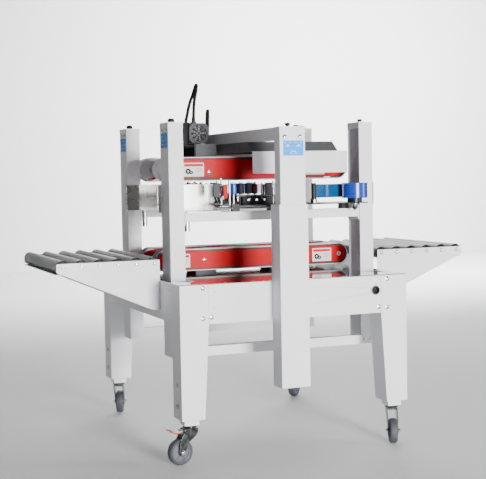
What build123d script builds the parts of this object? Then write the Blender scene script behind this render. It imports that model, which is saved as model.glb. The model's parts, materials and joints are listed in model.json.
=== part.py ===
"""Carton sealer machine: belt driven table, lifting top head, side tape heads and two roller conveyors.

Millimetres, +Z up. Cartons travel along +X. The operator's side is -Y.
"""
import os
from math import cos, radians, sin, tan

from build123d import *

os.makedirs("parts", exist_ok=True)

# ---------------------------------------------------------------- driving dimensions
half_length = 885.0          # centre to the outer end of a conveyor
base_x = 478.0               # centre to the end face of the base
base_y = 558.0               # centre to the front face of the base
deck_top = 683.0             # height of the table
deck_t = 3.0
panel_bottom = 531.0
sheet = 2.0
wall = 3.0
seam = 0.5                   # gap between neighbouring sheet panels

leg_top_w = 114.0
leg_foot_w = 92.0
leg_depth = 102.0
leg_bottom = 170.0
leg_taper_top = 530.0
inner_leg_w = 58.0
inner_leg_bottom = 147.0
inner_leg_top = 430.0
inner_leg_floor = 8.0        # plate that closes the foot of a sliding leg
flange_w = 22.0              # folded lower edge of a base panel
slide_gap = 0.5              # clearance around a sliding tube

wheel_r = 50.0
wheel_w = 32.0
tread_round = 6.0
caster_trail = 44.0
axle_r = 5.0
stem_r = 6.0
run_fit = 0.05               # radial clearance of a shaft in its bore
swivel_gap = 0.3
turntable_r = 25.0
turntable_h = 9.0
crown_t = 3.0                # top plate of a fork, under its turntable
crown_back = 24.0
crown_front = 44.0
fork_cheek_r = 14.0
fork_cheek_h = 14.0
fork_cheek_l = 68.0
fork_gap = 3.0               # wheel face to fork cheek
axle_end = 5.0               # axle beyond the fork
axle_head_r = 9.0
wheel_hub_r = 11.0
wheel_hub_end = 2.0          # hub beyond the tread
wheel_dish = 6.0
wheel_rim = 14.0
pedal_drop = 17.0
pedal_pin = 36.0
pedal_pin_r = 4.0
pedal_w = 34.0
pedal_t = 4.0
pedal_end = 96.0
pedal_pad_x = (80.0, 98.0)
pedal_pad_w = 40.0
pedal_pad_h = 7.0

mast_x = 442.0               # centre to the outer face of a mast
mast_w = 60.0
mast_d = 104.0
mast_y = 244.0               # centre to the inner face of a mast
mast_bottom = 378.0
mast_top = 1297.0
crossbeam_h = 37.0
width_in = 40.0              # travel of a side frame towards the centre
width_out = 90.0             # travel of a side frame away from the centre
slot_gap = 4.0
rail_r = 12.5
rail_z = 606.0
grip_r = 3.0                 # pull handle beside the operator's outfeed mast
grip_out = 10.0
grip_ends = (955.0, 1050.0)
grip_inset = 20.0
dummy_knob_r = 9.0
dummy_knob_h = 14.0

bar_bottom = 908.0
bar_h = 36.0
bar_d = 37.0
bar_gap = 2.0                # bar end to mast flange
shoe_gap = 2.0               # slider block to the inside of the mast
shoe_h = 60.0
screw_r = 8.0
screw_bottom_gap = 40.0      # rail to the foot of the screw
screw_knob_r = 13.0
screw_knob_h = 14.0
screw_knob_round = 7.0
shoe_drop = 12.0             # slider block below the bar
shoe_side = 4.0              # slider block beyond the bar's end
plate_z = 966.0
plate_t = 4.0
head_top = 1052.0
frame_z = 1004.0
tape_plate_x0 = -215.0
tape_plate_x1 = 372.0
tape_plate_y0 = 240.0
tape_plate_y1 = 440.0
spacer_x = (-180.0, -20.0, 105.0, 300.0)
spacer_w = 30.0
screen_x0 = -130.0           # perforated upright plate
screen_x1 = 100.0
screen_y = 330.0
screen_t = 3.0
screen_hole_x = (-105.0, -70.0, -35.0, 0.0, 35.0, 70.0)
screen_hole_r = 6.0
screen_hole_z = 20.0
carrier_x0 = -150.0          # plate that carries the arms
carrier_x1 = 110.0
carrier_y0 = 262.0
guide_post_x = (-165.0, -140.0, 96.0)
guide_post_y = 325.0
guide_post_r = 4.0
core_r = 38.1

roll_r = 52.0
roll_w = 61.0
roll_bottom = 987.0
roll_x = 330.0
roll_y = 405.0
roll_disc_r = 30.0
hub_short = 8.0              # hub below the top of the roll
mandrel_r = 9.0
mandrel_drop = 24.0
post_r = 9.5
post_x = 149.0
post_y = 400.0
post_pin_r = 5.0
post_foot = 8.0              # thin foot of the post beside the roll's lower edge
post_short = 2.0

arm_lift = 46.0              # arm above the tape plate
arm_head_gap = 2.0
pivots = {"front": (-120.0, -1), "rear": (60.0, 1)}
pivot_y = 290.0
arm_reach = 66.0
arm_roller_y = 218.0
arm_plate_r = 12.0
arm_boss_r = 11.0
arm_roller_r = 18.0
arm_roller_gap = 1.0

guide_x0 = -453.0
guide_x1 = -209.0
guide_y = 205.0
guide_top = 1053.0
rod_r = 11.0
rod_x = -353.0
rod_y = 290.0
rod_bottom = 868.0
guide_bend = -400.0
guide_flare = 24.0
guide_t = 1.5
guide_bead_r = 4.0
guide_edge_r = 3.0
guide_foot_x0 = -370.0
guide_foot_x1 = -230.0

belt_t = 5.0
belt_w = 50.0
belt_gap = 2.0               # belt edge to side plate
plate_side = 3.0
belt_run_gap = 0.3           # pulley to belt
shaft_r = 10.0
lower_z = 742.5
lower_r = 45.5
lower_half = 436.0
lower_y = 95.0               # centre to the middle of a lower belt
lower_plate_r = 38.0
upper_z = 1115.5
upper_r = 49.5
upper_half = 427.0
upper_y = 120.0
upper_plate_r = 42.0
bed_t = 6.0                  # slider bed behind each run of belt
bed_end_gap = 60.0
bed_web = 6.0
bracket_x = (-240.0, 100.0)
bracket_w = 90.0
bracket_d = 18.0
shaft_end = 3.0              # shaft beyond the outer side plate

drive_x0 = 200.0             # lower gear motor, under the deck
drive_w = 100.0
drive_half_y = 70.0
drive_plate_t = 6.0
drive_case_inset = 5.0
drive_case_y0 = 10.0
drive_case_h = 90.0
drive_axis_drop = 51.0
drive_motor_y0 = -130.0
drive_motor_r = 43.0
drive_stub_y1 = 96.0
drive_stub_r = 7.5

column_w = 103.0
column_d = 52.0
column_mid = -46.5
cover_w = 117.0
cover_front = 642.0          # centre to the front face of the column cover
cover_bottom = 278.0
cover_top = 974.0
collar_h = 6.0
column_front_gap = 2.0
column_bottom = 430.0
column_top = 1267.0
beam_x0 = -80.0
beam_w = 80.0
beam_bottom = 1221.0
beam_back = 330.0
beam_gland_x = -50.0
beam_gland_y = (294.0, 312.0)
beam_gland_r = 7.0
beam_gland_h = 8.0

hood_x0 = -80.0
hood_x1 = 303.0
skirt_x1 = 341.0
hood_y = 318.0
hood_shoulder = 310.0
hood_flat = 258.0
skirt_bottom = 1092.0
skirt_top = 1181.0
skirt_lip = 20.0

conveyor_y = 317.6           # centre to the outer face of a conveyor side plate
conveyor_top = 764.0
conveyor_end_h = 33.0
conveyor_foot = 569.0
conveyor_flat = 30.0
conveyor_round = 7.0
end_strip_w = 26.0
strip_gap = 3.0              # roller to the end strip
roller_r = 24.0
roller_z = 751.0
roller_count = 6
roller_pitch = 72.5
roller_gap = 2.0
roller_shaft_r = 6.0
roller_wall = 2.5
roller_cap_t = 3.0
roller_cap_depth = 14.0
roller_lip = 4.0
roller_chamfer = 1.5

knob_x = -58.0
knob_y = -620.0
knob_r = 9.0
knob_h = 14.0
knob_round = 5.0
knob_pin_r = 4.0
cap_bolt_z = 1221.0
cap_bolt_inset = 20.0

motor_w = 88.0
motor_x0 = -206.0
motor_y0 = 100.0
motor_len = 130.0
gearbox_len = 56.0
motor_bottom = 1226.0
bracket_t = 4.0
bracket_bottom = 1176.0
bracket_inset = 10.0
bracket_lip = 4.0            # bracket above the motor
motor_round = 20.0
fan_recess_r = 30.0
fan_recess = 3.0
terminal_w = 26.0
terminal_y = (140.0, 190.0)
terminal_h = 4.0
gland_x, gland_y, gland_z = -165.0, 150.0, 1338.0
gland_r = 8.0
gland_foot = 2.0
return_x, return_y, return_z = -195.0, 165.0, 1328.0
return_r = 7.0
fan_lead_r = 5.5
beam_lead_r = 4.5
hood_lead_r = 4.0
fan_lead_mid = 1400.0        # heights of the three leads' turns
fan_lead_top = 1484.0
fan_lead_back = 176.0
beam_lead_mid = 1325.0
beam_lead_top = 1375.0
turn_share = 0.45            # share of a run that each turn uses

bolt_r = 7.0
bolt_h = 4.0
screw_head_r = 3.5
inlet_r = 18.0
inlet_x = 340.0
inlet_z = 622.0
inlet_rim = 4.0
inlet_proud = 3.0
inlet_depth = 28.0
inlet_socket = 14.0
inlet_wall = 5.0
inlet_pins = ((0.0, 6.0), (-5.2, -3.0), (5.2, -3.0))
inlet_pin_r = 1.6
cut_over = 1.0               # how far a cut runs past the face it opens

# ---------------------------------------------------------------- the frame of the whole machine
# The origin is the middle of the bounding box, from the column cover in front to a rear wheel.
back_heading = 68.6
rear_dir = (cos(radians(back_heading)), sin(radians(back_heading)))
leg_x = base_x - leg_foot_w / 2
leg_y = base_y - leg_depth / 2
rear_reach = (leg_y + (caster_trail + wheel_r - tread_round) * rear_dir[1]
              + (wheel_w / 2 - tread_round) * rear_dir[0] + tread_round)
mid_y = (cover_front - rear_reach) / 2
floor = Plane((0, mid_y, 0))
front = Plane((0, mid_y, 0), x_dir=(1, 0, 0), z_dir=(0, -1, 0))
side = Plane((0, mid_y, 0), x_dir=(0, 1, 0), z_dir=(1, 0, 0))
deck_bottom = deck_top - deck_t


def save(piece, name):
    """Label a finished piece and write it to its own file."""
    piece.part.label = name
    export_step(piece.part, f"parts/{name}.step")


def block(x0, x1, y0, y1, z0, z1, mode=Mode.ADD):
    """A box between two corners, given in the machine's frame, inside a BuildPart on the floor plane."""
    low_y, high_y = sorted((y0, y1))
    with Locations(((x0 + x1) / 2, (low_y + high_y) / 2, (z0 + z1) / 2)):
        Box(x1 - x0, high_y - low_y, z1 - z0, mode=mode)


def upright(x, y, z0, z1, radius, mode=Mode.ADD):
    """A vertical cylinder between two heights."""
    with Locations((x, y, (z0 + z1) / 2)):
        Cylinder(radius, z1 - z0, mode=mode)


def cross_rod(x, z, y0, y1, radius, mode=Mode.ADD):
    """A cylinder along Y between two places."""
    low_y, high_y = sorted((y0, y1))
    with Locations(Location((x, (low_y + high_y) / 2, z), (90, 0, 0))):
        Cylinder(radius, high_y - low_y, mode=mode)


# ---------------------------------------------------------------- base
panel_x = base_x - leg_top_w - seam
end_y = base_y - leg_depth - seam

with BuildPart(floor) as base_panels:
    for s in (-1, 1):
        block(-panel_x, panel_x, s * (base_y - sheet), s * base_y, panel_bottom, deck_bottom)
        block(-panel_x, panel_x, s * (base_y - flange_w), s * base_y, panel_bottom, panel_bottom + sheet)
    for s in (-1, 1):
        x0, x1 = sorted((s * (base_x - sheet), s * base_x))
        block(x0, x1, -end_y, end_y, panel_bottom, deck_bottom)
        x0, x1 = sorted((s * (base_x - flange_w), s * base_x))
        block(x0, x1, -end_y, end_y, panel_bottom, panel_bottom + sheet)
    cross_rod(inlet_x, inlet_z, -base_y - cut_over, -base_y + sheet + cut_over, inlet_r + run_fit, Mode.SUBTRACT)
save(base_panels, "base_panels")

slot_x0 = mast_x - mast_w - slot_gap
slot_x1 = mast_x + slot_gap
slot_y0 = mast_y - width_in - slot_gap
slot_y1 = mast_y + mast_d + width_out + slot_gap
with BuildPart(floor) as deck_plate:
    block(-base_x, base_x, -base_y, base_y, deck_bottom, deck_top)
    for sx in (-1, 1):
        for sy in (-1, 1):
            x0, x1 = sorted((sx * slot_x0, sx * slot_x1))
            block(x0, x1, sy * slot_y0, sy * slot_y1, deck_bottom, deck_top, Mode.SUBTRACT)
save(deck_plate, "deck_plate")

leg_outline = [
    (base_x, deck_bottom),
    (base_x - leg_top_w, deck_bottom),
    (base_x - leg_top_w, leg_taper_top),
    (base_x - leg_foot_w, leg_bottom),
    (base_x, leg_bottom),
]
with BuildPart(floor) as outer_legs:
    for sx in (-1, 1):
        for sy in (-1, 1):
            face = front.offset(base_y if sy < 0 else -(base_y - leg_depth))
            with BuildSketch(face) as leg_face:
                with BuildLine():
                    Polyline([(sx * x, z) for x, z in leg_outline], close=True)
                make_face()
            extrude(amount=-leg_depth)
            with BuildSketch(face.offset(-wall)) as leg_core:
                with BuildLine():
                    Polyline([(sx * x, z) for x, z in leg_outline], close=True)
                make_face()
                offset(amount=-wall, kind=Kind.INTERSECTION)
            extrude(amount=-(leg_depth - 2 * wall), mode=Mode.SUBTRACT)
            hole = inner_leg_w / 2 + slide_gap
            block(sx * leg_x - hole, sx * leg_x + hole, sy * leg_y - hole, sy * leg_y + hole,
                  leg_bottom - cut_over, leg_bottom + 2 * wall, Mode.SUBTRACT)
save(outer_legs, "outer_legs")

dome_bolts = [(-387, 668), (-388, 553), (-354, 557), (392, 665), (392, 552), (355, 555)]
panel_screws = [(-342, 651), (-344, 593), (344, 651), (344, 591)]
with BuildPart(floor) as fasteners:
    for s in (-1, 1):
        for x, z in dome_bolts:
            cross_rod(x, z, s * base_y, s * (base_y + bolt_h), bolt_r)
        for x, z in panel_screws:
            cross_rod(x, z, s * base_y, s * (base_y + bolt_h / 2), screw_head_r)
    chamfer(fasteners.faces().filter_by(Axis.Y).edges().filter_by(GeomType.CIRCLE).filter_by(
        lambda e: abs(abs(e.center().Y - mid_y) - base_y) > bolt_h / 4), bolt_h / 4)
save(fasteners, "fasteners")

with BuildPart(floor) as power_inlet:
    socket_end = -base_y + inlet_socket
    cross_rod(inlet_x, inlet_z, -base_y - inlet_proud, -base_y, inlet_r + inlet_rim)
    cross_rod(inlet_x, inlet_z, -base_y, -base_y + inlet_depth, inlet_r)
    cross_rod(inlet_x, inlet_z, -base_y - inlet_proud, socket_end, inlet_r - inlet_wall, Mode.SUBTRACT)
    for x, z in inlet_pins:
        cross_rod(inlet_x + x, inlet_z + z, -base_y - cut_over, socket_end, inlet_pin_r)
save(power_inlet, "power_inlet")

cover_x0 = column_mid - cover_w / 2
cover_x1 = column_mid + cover_w / 2
column_x0 = column_mid - column_w / 2
column_x1 = column_mid + column_w / 2
column_y0 = -cover_front + sheet + column_front_gap
column_y1 = column_y0 + column_d
with BuildPart(floor) as column_cover:
    block(cover_x0, cover_x1, -cover_front, -base_y, cover_bottom, cover_top)
    block(cover_x0 + sheet, cover_x1 - sheet, -cover_front + sheet, -base_y - sheet,
          cover_bottom, cover_top - collar_h, Mode.SUBTRACT)
    block(column_x0 - slide_gap, column_x1 + slide_gap, column_y0 - slide_gap, column_y1 + slide_gap,
          cover_bottom, cover_top, Mode.SUBTRACT)
save(column_cover, "column_cover")

with BuildPart(floor) as width_rails:
    for s in (-1, 1):
        cross_rod(s * (mast_x - mast_w / 2), rail_z, -(base_y - leg_depth), base_y - leg_depth, rail_r)
save(width_rails, "width_rails")

# ---------------------------------------------------------------- conveyors
roller_x = [half_length - roller_r - k * roller_pitch for k in range(roller_count)]
conveyor_outline = [
    (base_x, conveyor_top),
    (half_length, conveyor_top),
    (half_length, conveyor_top - conveyor_end_h),
    (base_x + conveyor_flat, conveyor_foot),
    (base_x, conveyor_foot),
]
with BuildPart(floor) as conveyor_frames:
    for sx in (-1, 1):
        for y in (conveyor_y, -conveyor_y + wall):
            with BuildSketch(front.offset(y)) as plate_face:
                with BuildLine():
                    Polyline([(sx * x, z) for x, z in conveyor_outline], close=True)
                make_face()
                corners = plate_face.vertices().sort_by(Axis.X)
                fillet(corners[:2] if sx < 0 else corners[-2:], conveyor_round)
            extrude(amount=-wall)
        x0, x1 = sorted((sx * base_x, sx * (base_x + wall)))
        block(x0, x1, -conveyor_y, conveyor_y, conveyor_foot, deck_bottom)
        x0, x1 = sorted((sx * (half_length - end_strip_w), sx * half_length))
        strip_top = roller_z - roller_r - strip_gap
        block(x0, x1, -conveyor_y + wall, conveyor_y - wall, strip_top - wall, strip_top)
        for x in roller_x:
            cross_rod(sx * x, roller_z, -conveyor_y - bolt_h, conveyor_y + bolt_h, roller_shaft_r)
save(conveyor_frames, "conveyor_frames")

roller_half = conveyor_y - wall - roller_gap
for sx, end_name in ((-1, "left"), (1, "right")):
    for k, x in enumerate(roller_x):
        with BuildPart(floor) as conveyor_roller:
            cross_rod(sx * x, roller_z, -roller_half, roller_half, roller_r)
            chamfer(conveyor_roller.edges().filter_by(GeomType.CIRCLE), roller_chamfer)
            for s in (-1, 1):
                cross_rod(sx * x, roller_z, s * roller_half, s * (roller_half - roller_cap_depth),
                          roller_r - roller_lip, Mode.SUBTRACT)
            cross_rod(sx * x, roller_z, -roller_half + roller_cap_t, roller_half - roller_cap_t,
                      roller_r - roller_wall, Mode.SUBTRACT)
            for s in (-1, 1):
                cross_rod(sx * x, roller_z, s * (roller_half - roller_gap),
                          s * (roller_half - roller_cap_depth), roller_r - roller_gap)
            cross_rod(sx * x, roller_z, -roller_half, roller_half, roller_shaft_r + run_fit,
                      Mode.SUBTRACT)
        save(conveyor_roller, f"{end_name}_roller_{k + 1}")


# ---------------------------------------------------------------- belt drives
def belt_modules(mid, z, radius, half, plate_r, joint_z):
    """Side plates and slider bed of a near and a far belt module, each held by brackets at joint_z."""
    inside = belt_w / 2 + belt_gap
    reach = half - radius
    bed_half = reach - bed_end_gap
    with BuildPart(floor) as modules:
        for s in (-1, 1):
            for y in (s * mid - inside, s * mid + inside + plate_side):
                with BuildSketch(front.offset(-y)):
                    with Locations((0, z)):
                        SlotOverall(2 * (half - radius + plate_r), 2 * plate_r)
                extrude(amount=plate_side)
            bed = radius - belt_t - belt_run_gap
            for up in (-1, 1):
                z0, z1 = sorted((z + up * bed, z + up * (bed - bed_t)))
                block(-bed_half, bed_half, s * mid - inside, s * mid + inside, z0, z1)
            block(-bed_half, bed_half, s * mid - bed_web / 2, s * mid + bed_web / 2, z - bed, z + bed)
            inner = mid - inside - plate_side
            z0, z1 = sorted((z, joint_z))
            for x in bracket_x:
                block(x, x + bracket_w, s * (inner - bracket_d), s * inner, z0, z1)
            for x in (-reach, reach):
                cross_rod(x, z, s * (mid - inside - plate_side), s * (mid + inside + plate_side),
                          shaft_r + run_fit, Mode.SUBTRACT)
    return modules


def belts(mid, z, radius, half):
    """The two endless belts around a pair of shafts."""
    with BuildPart(floor) as loops:
        for s in (-1, 1):
            with BuildSketch(front.offset(-s * mid - belt_w / 2)):
                with Locations((0, z)):
                    SlotOverall(2 * half, 2 * radius)
                    SlotOverall(2 * (half - belt_t), 2 * (radius - belt_t), mode=Mode.SUBTRACT)
            extrude(amount=belt_w)
    return loops


def belt_shaft(x, mid, z, radius):
    """One shaft across both modules, with a crowned pulley for each belt."""
    end = mid + belt_w / 2 + belt_gap + plate_side + shaft_end
    with BuildPart(floor) as shaft:
        cross_rod(x, z, -end, end, shaft_r)
        for s in (-1, 1):
            cross_rod(x, z, s * (mid - belt_w / 2), s * (mid + belt_w / 2), radius - belt_t - belt_run_gap)
        chamfer(shaft.edges().filter_by(GeomType.CIRCLE).filter_by(
            lambda e: e.radius > 2 * shaft_r), 1)
    return shaft


save(belt_modules(lower_y, lower_z, lower_r, lower_half, lower_plate_r, deck_top), "lower_belt_modules")
save(belts(lower_y, lower_z, lower_r, lower_half), "lower_belts")
save(belt_shaft(lower_half - lower_r, lower_y, lower_z, lower_r), "lower_drive_shaft")
save(belt_shaft(lower_r - lower_half, lower_y, lower_z, lower_r), "lower_idler_shaft")
save(belt_modules(upper_y, upper_z, upper_r, upper_half, upper_plate_r, beam_bottom - sheet),
     "upper_belt_modules")
save(belts(upper_y, upper_z, upper_r, upper_half), "upper_belts")
save(belt_shaft(upper_half - upper_r, upper_y, upper_z, upper_r), "upper_drive_shaft")
save(belt_shaft(upper_r - upper_half, upper_y, upper_z, upper_r), "upper_idler_shaft")

drive_x1 = drive_x0 + drive_w
drive_mid = (drive_x0 + drive_x1) / 2
drive_top = deck_bottom - drive_plate_t
drive_z = deck_bottom - drive_axis_drop
with BuildPart(floor) as lower_motor:
    block(drive_x0, drive_x1, -drive_half_y, drive_half_y, drive_top, deck_bottom)
    block(drive_x0 + drive_case_inset, drive_x1 - drive_case_inset, drive_case_y0, drive_half_y,
          drive_top - drive_case_h, drive_top)
    cross_rod(drive_mid, drive_z, drive_motor_y0, drive_case_y0, drive_motor_r)
    cross_rod(drive_mid, drive_z, drive_half_y, drive_stub_y1, drive_stub_r)
save(lower_motor, "lower_motor")

# ---------------------------------------------------------------- legs and casters
with BuildPart(floor) as inner_legs:
    half_leg = inner_leg_w / 2
    for sx in (-1, 1):
        for sy in (-1, 1):
            x, y = sx * leg_x, sy * leg_y
            block(x - half_leg, x + half_leg, y - half_leg, y + half_leg, inner_leg_bottom, inner_leg_top)
            core = half_leg - wall
            core_floor = inner_leg_bottom + inner_leg_floor
            block(x - core, x + core, y - core, y + core, core_floor, inner_leg_top, Mode.SUBTRACT)
            upright(x, y, inner_leg_bottom, core_floor, stem_r + run_fit, Mode.SUBTRACT)
save(inner_legs, "inner_legs")

casters = {
    "front_left": (-1, -1, 192.0),
    "front_right": (1, -1, 248.6),
    "back_left": (-1, 1, back_heading),
    "back_right": (1, 1, 45.0),
}
fork_top = inner_leg_bottom - swivel_gap
fork_in = wheel_w / 2 + fork_gap
fork_out = fork_in + wall
crown_top = fork_top - turntable_h
stem_top = fork_top + 5 * inner_leg_floor
pedal_z = fork_top - pedal_drop


def caster_planes(name):
    """Planes with X along a caster's trail: one flat, one upright across its wheel."""
    sx, sy, heading = casters[name]
    trail_dir = (cos(radians(heading)), sin(radians(heading)), 0)
    flat = Plane((sx * leg_x, mid_y + sy * leg_y, 0), x_dir=trail_dir, z_dir=(0, 0, 1))
    return flat, Plane(flat.origin, x_dir=trail_dir, z_dir=(trail_dir[1], -trail_dir[0], 0))


for name in casters:
    turn, across = caster_planes(name)
    with BuildPart(turn) as caster_fork:
        upright(0, 0, crown_top, fork_top, turntable_r)
        upright(0, 0, fork_top, stem_top, stem_r)
        block(-crown_back, crown_front, -fork_out, fork_out, crown_top - crown_t, crown_top)
        for s in (-1, 1):
            with BuildSketch(across.offset(s * (fork_in + wall / 2) - wall / 2)):
                with Locations((caster_trail, wheel_r)):
                    Circle(fork_cheek_r)
                with Locations(((crown_front - crown_back) / 2, crown_top - crown_t - fork_cheek_h / 2)):
                    Rectangle(fork_cheek_l, fork_cheek_h)
                make_hull()
            extrude(amount=wall)
        cross_rod(caster_trail, wheel_r, -fork_out - axle_end, fork_out + axle_end, axle_r)
        for s in (-1, 1):
            cross_rod(caster_trail, wheel_r, s * fork_out, s * (fork_out + axle_end), axle_head_r)
        if name == "front_left":
            cross_rod(pedal_pin, pedal_z, -fork_out, fork_out, pedal_pin_r + run_fit, Mode.SUBTRACT)
    save(caster_fork, f"{name}_fork")
    with BuildPart(turn) as caster_wheel:
        hub_half = wheel_w / 2 + wheel_hub_end
        cross_rod(caster_trail, wheel_r, -wheel_w / 2, wheel_w / 2, wheel_r)
        fillet(caster_wheel.edges().filter_by(GeomType.CIRCLE), tread_round)
        for s in (-1, 1):
            cross_rod(caster_trail, wheel_r, s * wheel_w / 2, s * (wheel_w / 2 - wheel_dish),
                      wheel_r - wheel_rim, Mode.SUBTRACT)
        cross_rod(caster_trail, wheel_r, -hub_half, hub_half, wheel_hub_r)
        cross_rod(caster_trail, wheel_r, -hub_half, hub_half, axle_r + run_fit, Mode.SUBTRACT)
    save(caster_wheel, f"{name}_wheel")

turn, across = caster_planes("front_left")
with BuildPart(turn) as brake_pedal:
    block(pedal_pin, pedal_end, -pedal_w / 2, pedal_w / 2, pedal_z - pedal_t / 2, pedal_z + pedal_t / 2)
    block(*pedal_pad_x, -pedal_pad_w / 2, pedal_pad_w / 2, pedal_z, pedal_z + pedal_pad_h)
    cross_rod(pedal_pin, pedal_z, -fork_out, fork_out, pedal_pin_r)
save(brake_pedal, "brake_pedal")

# ---------------------------------------------------------------- side frames and tape heads
bar_y0 = mast_y + mast_d - bar_d
bar_y1 = mast_y + mast_d
shoe_x0 = mast_x - mast_w - bar_gap - shoe_side
shoe_x1 = mast_x - wall - shoe_gap
shoe_z0 = bar_bottom - shoe_drop
shoe_y0 = mast_y + wall + shoe_gap
shoe_y1 = mast_y + mast_d - wall - shoe_gap
screw_x = mast_x - mast_w / 2
screw_y = mast_y + mast_d / 2
arm_z0 = plate_z + arm_lift
arm_z1 = head_top - arm_head_gap


def side_unit(s, name):
    """The mast frame, lift screw, cross bar, tape head and carton guide of one side; s is -1 in front."""
    with BuildPart(floor) as side_frame:
        for sx in (-1, 1):
            x0, x1 = sorted((sx * (mast_x - mast_w), sx * mast_x))
            c0, c1 = sorted((sx * (mast_x - mast_w), sx * (mast_x - wall)))
            block(x0, x1, s * mast_y, s * (mast_y + mast_d), mast_bottom, mast_top)
            block(c0, c1, s * (mast_y + wall), s * (mast_y + mast_d - wall), mast_bottom, mast_top - wall,
                  Mode.SUBTRACT)
            cross_rod(sx * screw_x, rail_z, s * mast_y, s * (mast_y + mast_d), rail_r + run_fit, Mode.SUBTRACT)
        block(-mast_x + wall, mast_x - wall, s * (bar_y1 - bar_d), s * bar_y1, mast_bottom,
              mast_bottom + crossbeam_h)
        block(-mast_x + 2 * wall, mast_x - 2 * wall, s * (bar_y1 - bar_d + wall), s * (bar_y1 - wall),
              mast_bottom, mast_bottom + crossbeam_h - wall, Mode.SUBTRACT)
        upright(-screw_x, s * screw_y, mast_top - wall, mast_top, screw_r + run_fit, Mode.SUBTRACT)
        upright(screw_x, s * screw_y, mast_top, mast_top + dummy_knob_h, dummy_knob_r)
        grip_y = s * (bar_y1 - grip_inset)
        for z in grip_ends:
            with Locations(Location((mast_x + grip_out / 2, grip_y, z), (0, 90, 0))):
                Cylinder(grip_r, grip_out + wall)
        upright(mast_x + grip_out, grip_y, grip_ends[0] - grip_r, grip_ends[1] + grip_r, grip_r)
    save(side_frame, f"{name}_side_frame")

    with BuildPart(floor) as lift_screw:
        knob_z = mast_top + bar_gap
        upright(-screw_x, s * screw_y, rail_z + screw_bottom_gap, knob_z + bar_gap, screw_r)
        upright(-screw_x, s * screw_y, knob_z, knob_z + screw_knob_h, screw_knob_r)
        fillet(lift_screw.faces().sort_by(Axis.Z)[-1].edges(), screw_knob_round)
    save(lift_screw, f"{name}_lift_screw")

    with BuildPart(floor) as side_bar:
        block(-mast_x + mast_w + bar_gap, mast_x - mast_w - bar_gap, s * bar_y0, s * bar_y1, bar_bottom,
              bar_bottom + bar_h)
        for sx in (-1, 1):
            x0, x1 = sorted((sx * shoe_x0, sx * shoe_x1))
            block(x0, x1, s * shoe_y0, s * shoe_y1, shoe_z0, shoe_z0 + shoe_h)
        upright(-screw_x, s * screw_y, shoe_z0, shoe_z0 + shoe_h, screw_r + run_fit, Mode.SUBTRACT)
    save(side_bar, f"{name}_side_bar")

    with BuildPart(floor) as tape_plate:
        deck_z = plate_z + plate_t
        block(tape_plate_x0, tape_plate_x1, s * tape_plate_y0, s * tape_plate_y1, plate_z, deck_z)
        for x in spacer_x:
            block(x, x + spacer_w, s * bar_y0, s * bar_y1, bar_bottom + bar_h, plate_z)
        block(screen_x0, screen_x1, s * screen_y, s * (screen_y + screen_t), deck_z, frame_z)
        for x in screen_hole_x:
            cross_rod(x, plate_z + screen_hole_z, s * (screen_y - cut_over),
                      s * (screen_y + screen_t + cut_over), screen_hole_r, Mode.SUBTRACT)
        block(carrier_x0, carrier_x1, s * carrier_y0, s * (screen_y + plate_t), frame_z, frame_z + plate_t)
        for pivot_x, lead in pivots.values():
            upright(pivot_x, s * pivot_y, deck_z, head_top, stem_r)
        for x in guide_post_x:
            upright(x, s * guide_post_y, deck_z, head_top, guide_post_r)
        upright(post_x, s * post_y, deck_z, roll_bottom + post_foot, post_pin_r)
        upright(post_x, s * post_y, roll_bottom + post_foot, roll_bottom + roll_w - post_short, post_r)
        upright(roll_x, s * roll_y, deck_z, roll_bottom - swivel_gap, roll_disc_r)
        upright(roll_x, s * roll_y, roll_bottom - swivel_gap, roll_bottom + roll_w - hub_short,
                core_r - run_fit)
        upright(roll_x, s * roll_y, plate_z - mandrel_drop, plate_z, mandrel_r)
    save(tape_plate, f"{name}_tape_plate")

    with BuildPart(floor) as tape_roll:
        upright(roll_x, s * roll_y, roll_bottom, roll_bottom + roll_w, roll_r)
        upright(roll_x, s * roll_y, roll_bottom, roll_bottom + roll_w, core_r, Mode.SUBTRACT)
    save(tape_roll, f"{name}_tape_roll")

    for arm_name, (pivot_x, lead) in pivots.items():
        end_x = pivot_x + lead * arm_reach
        with BuildPart(floor) as arm:
            for z0 in (arm_z0, arm_z1 - wall):
                with BuildSketch(floor.offset(z0)):
                    with Locations((pivot_x, s * pivot_y), (end_x, s * arm_roller_y)):
                        Circle(arm_plate_r)
                    make_hull()
                extrude(amount=wall)
            upright(pivot_x, s * pivot_y, arm_z0, arm_z1, arm_boss_r)
            upright(end_x, s * arm_roller_y, arm_z0, arm_z1, axle_r)
            upright(pivot_x, s * pivot_y, arm_z0, arm_z1, stem_r + run_fit, Mode.SUBTRACT)
            upright(end_x, s * arm_roller_y, arm_z0 + wall + arm_roller_gap,
                    arm_z1 - wall - arm_roller_gap, arm_roller_r)
        save(arm, f"{name}_{arm_name}_arm")

    with BuildPart(floor) as infeed_guide:
        foot_z = bar_bottom + bar_h
        with BuildSketch(floor.offset(foot_z)):
            with BuildLine():
                Polyline([
                    (guide_x1, s * guide_y),
                    (guide_bend, s * guide_y),
                    (guide_x0, s * (guide_y + guide_flare)),
                    (guide_x0, s * (guide_y + guide_flare + guide_t)),
                    (guide_bend, s * (guide_y + guide_t)),
                    (guide_x1, s * (guide_y + guide_t)),
                ], close=True)
            make_face()
        extrude(amount=guide_top - foot_z)
        upright(guide_x0, s * (guide_y + guide_flare), foot_z, guide_top, guide_bead_r)
        upright(guide_x1, s * (guide_y + sheet), foot_z, guide_top, guide_edge_r)
        block(guide_foot_x0, guide_foot_x1, s * guide_y, s * bar_y1, foot_z, foot_z + wall)
        upright(rod_x, s * rod_y, rod_bottom, foot_z, rod_r)
    save(infeed_guide, f"{name}_infeed_guide")


side_unit(-1, "near")
side_unit(1, "far")

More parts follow.
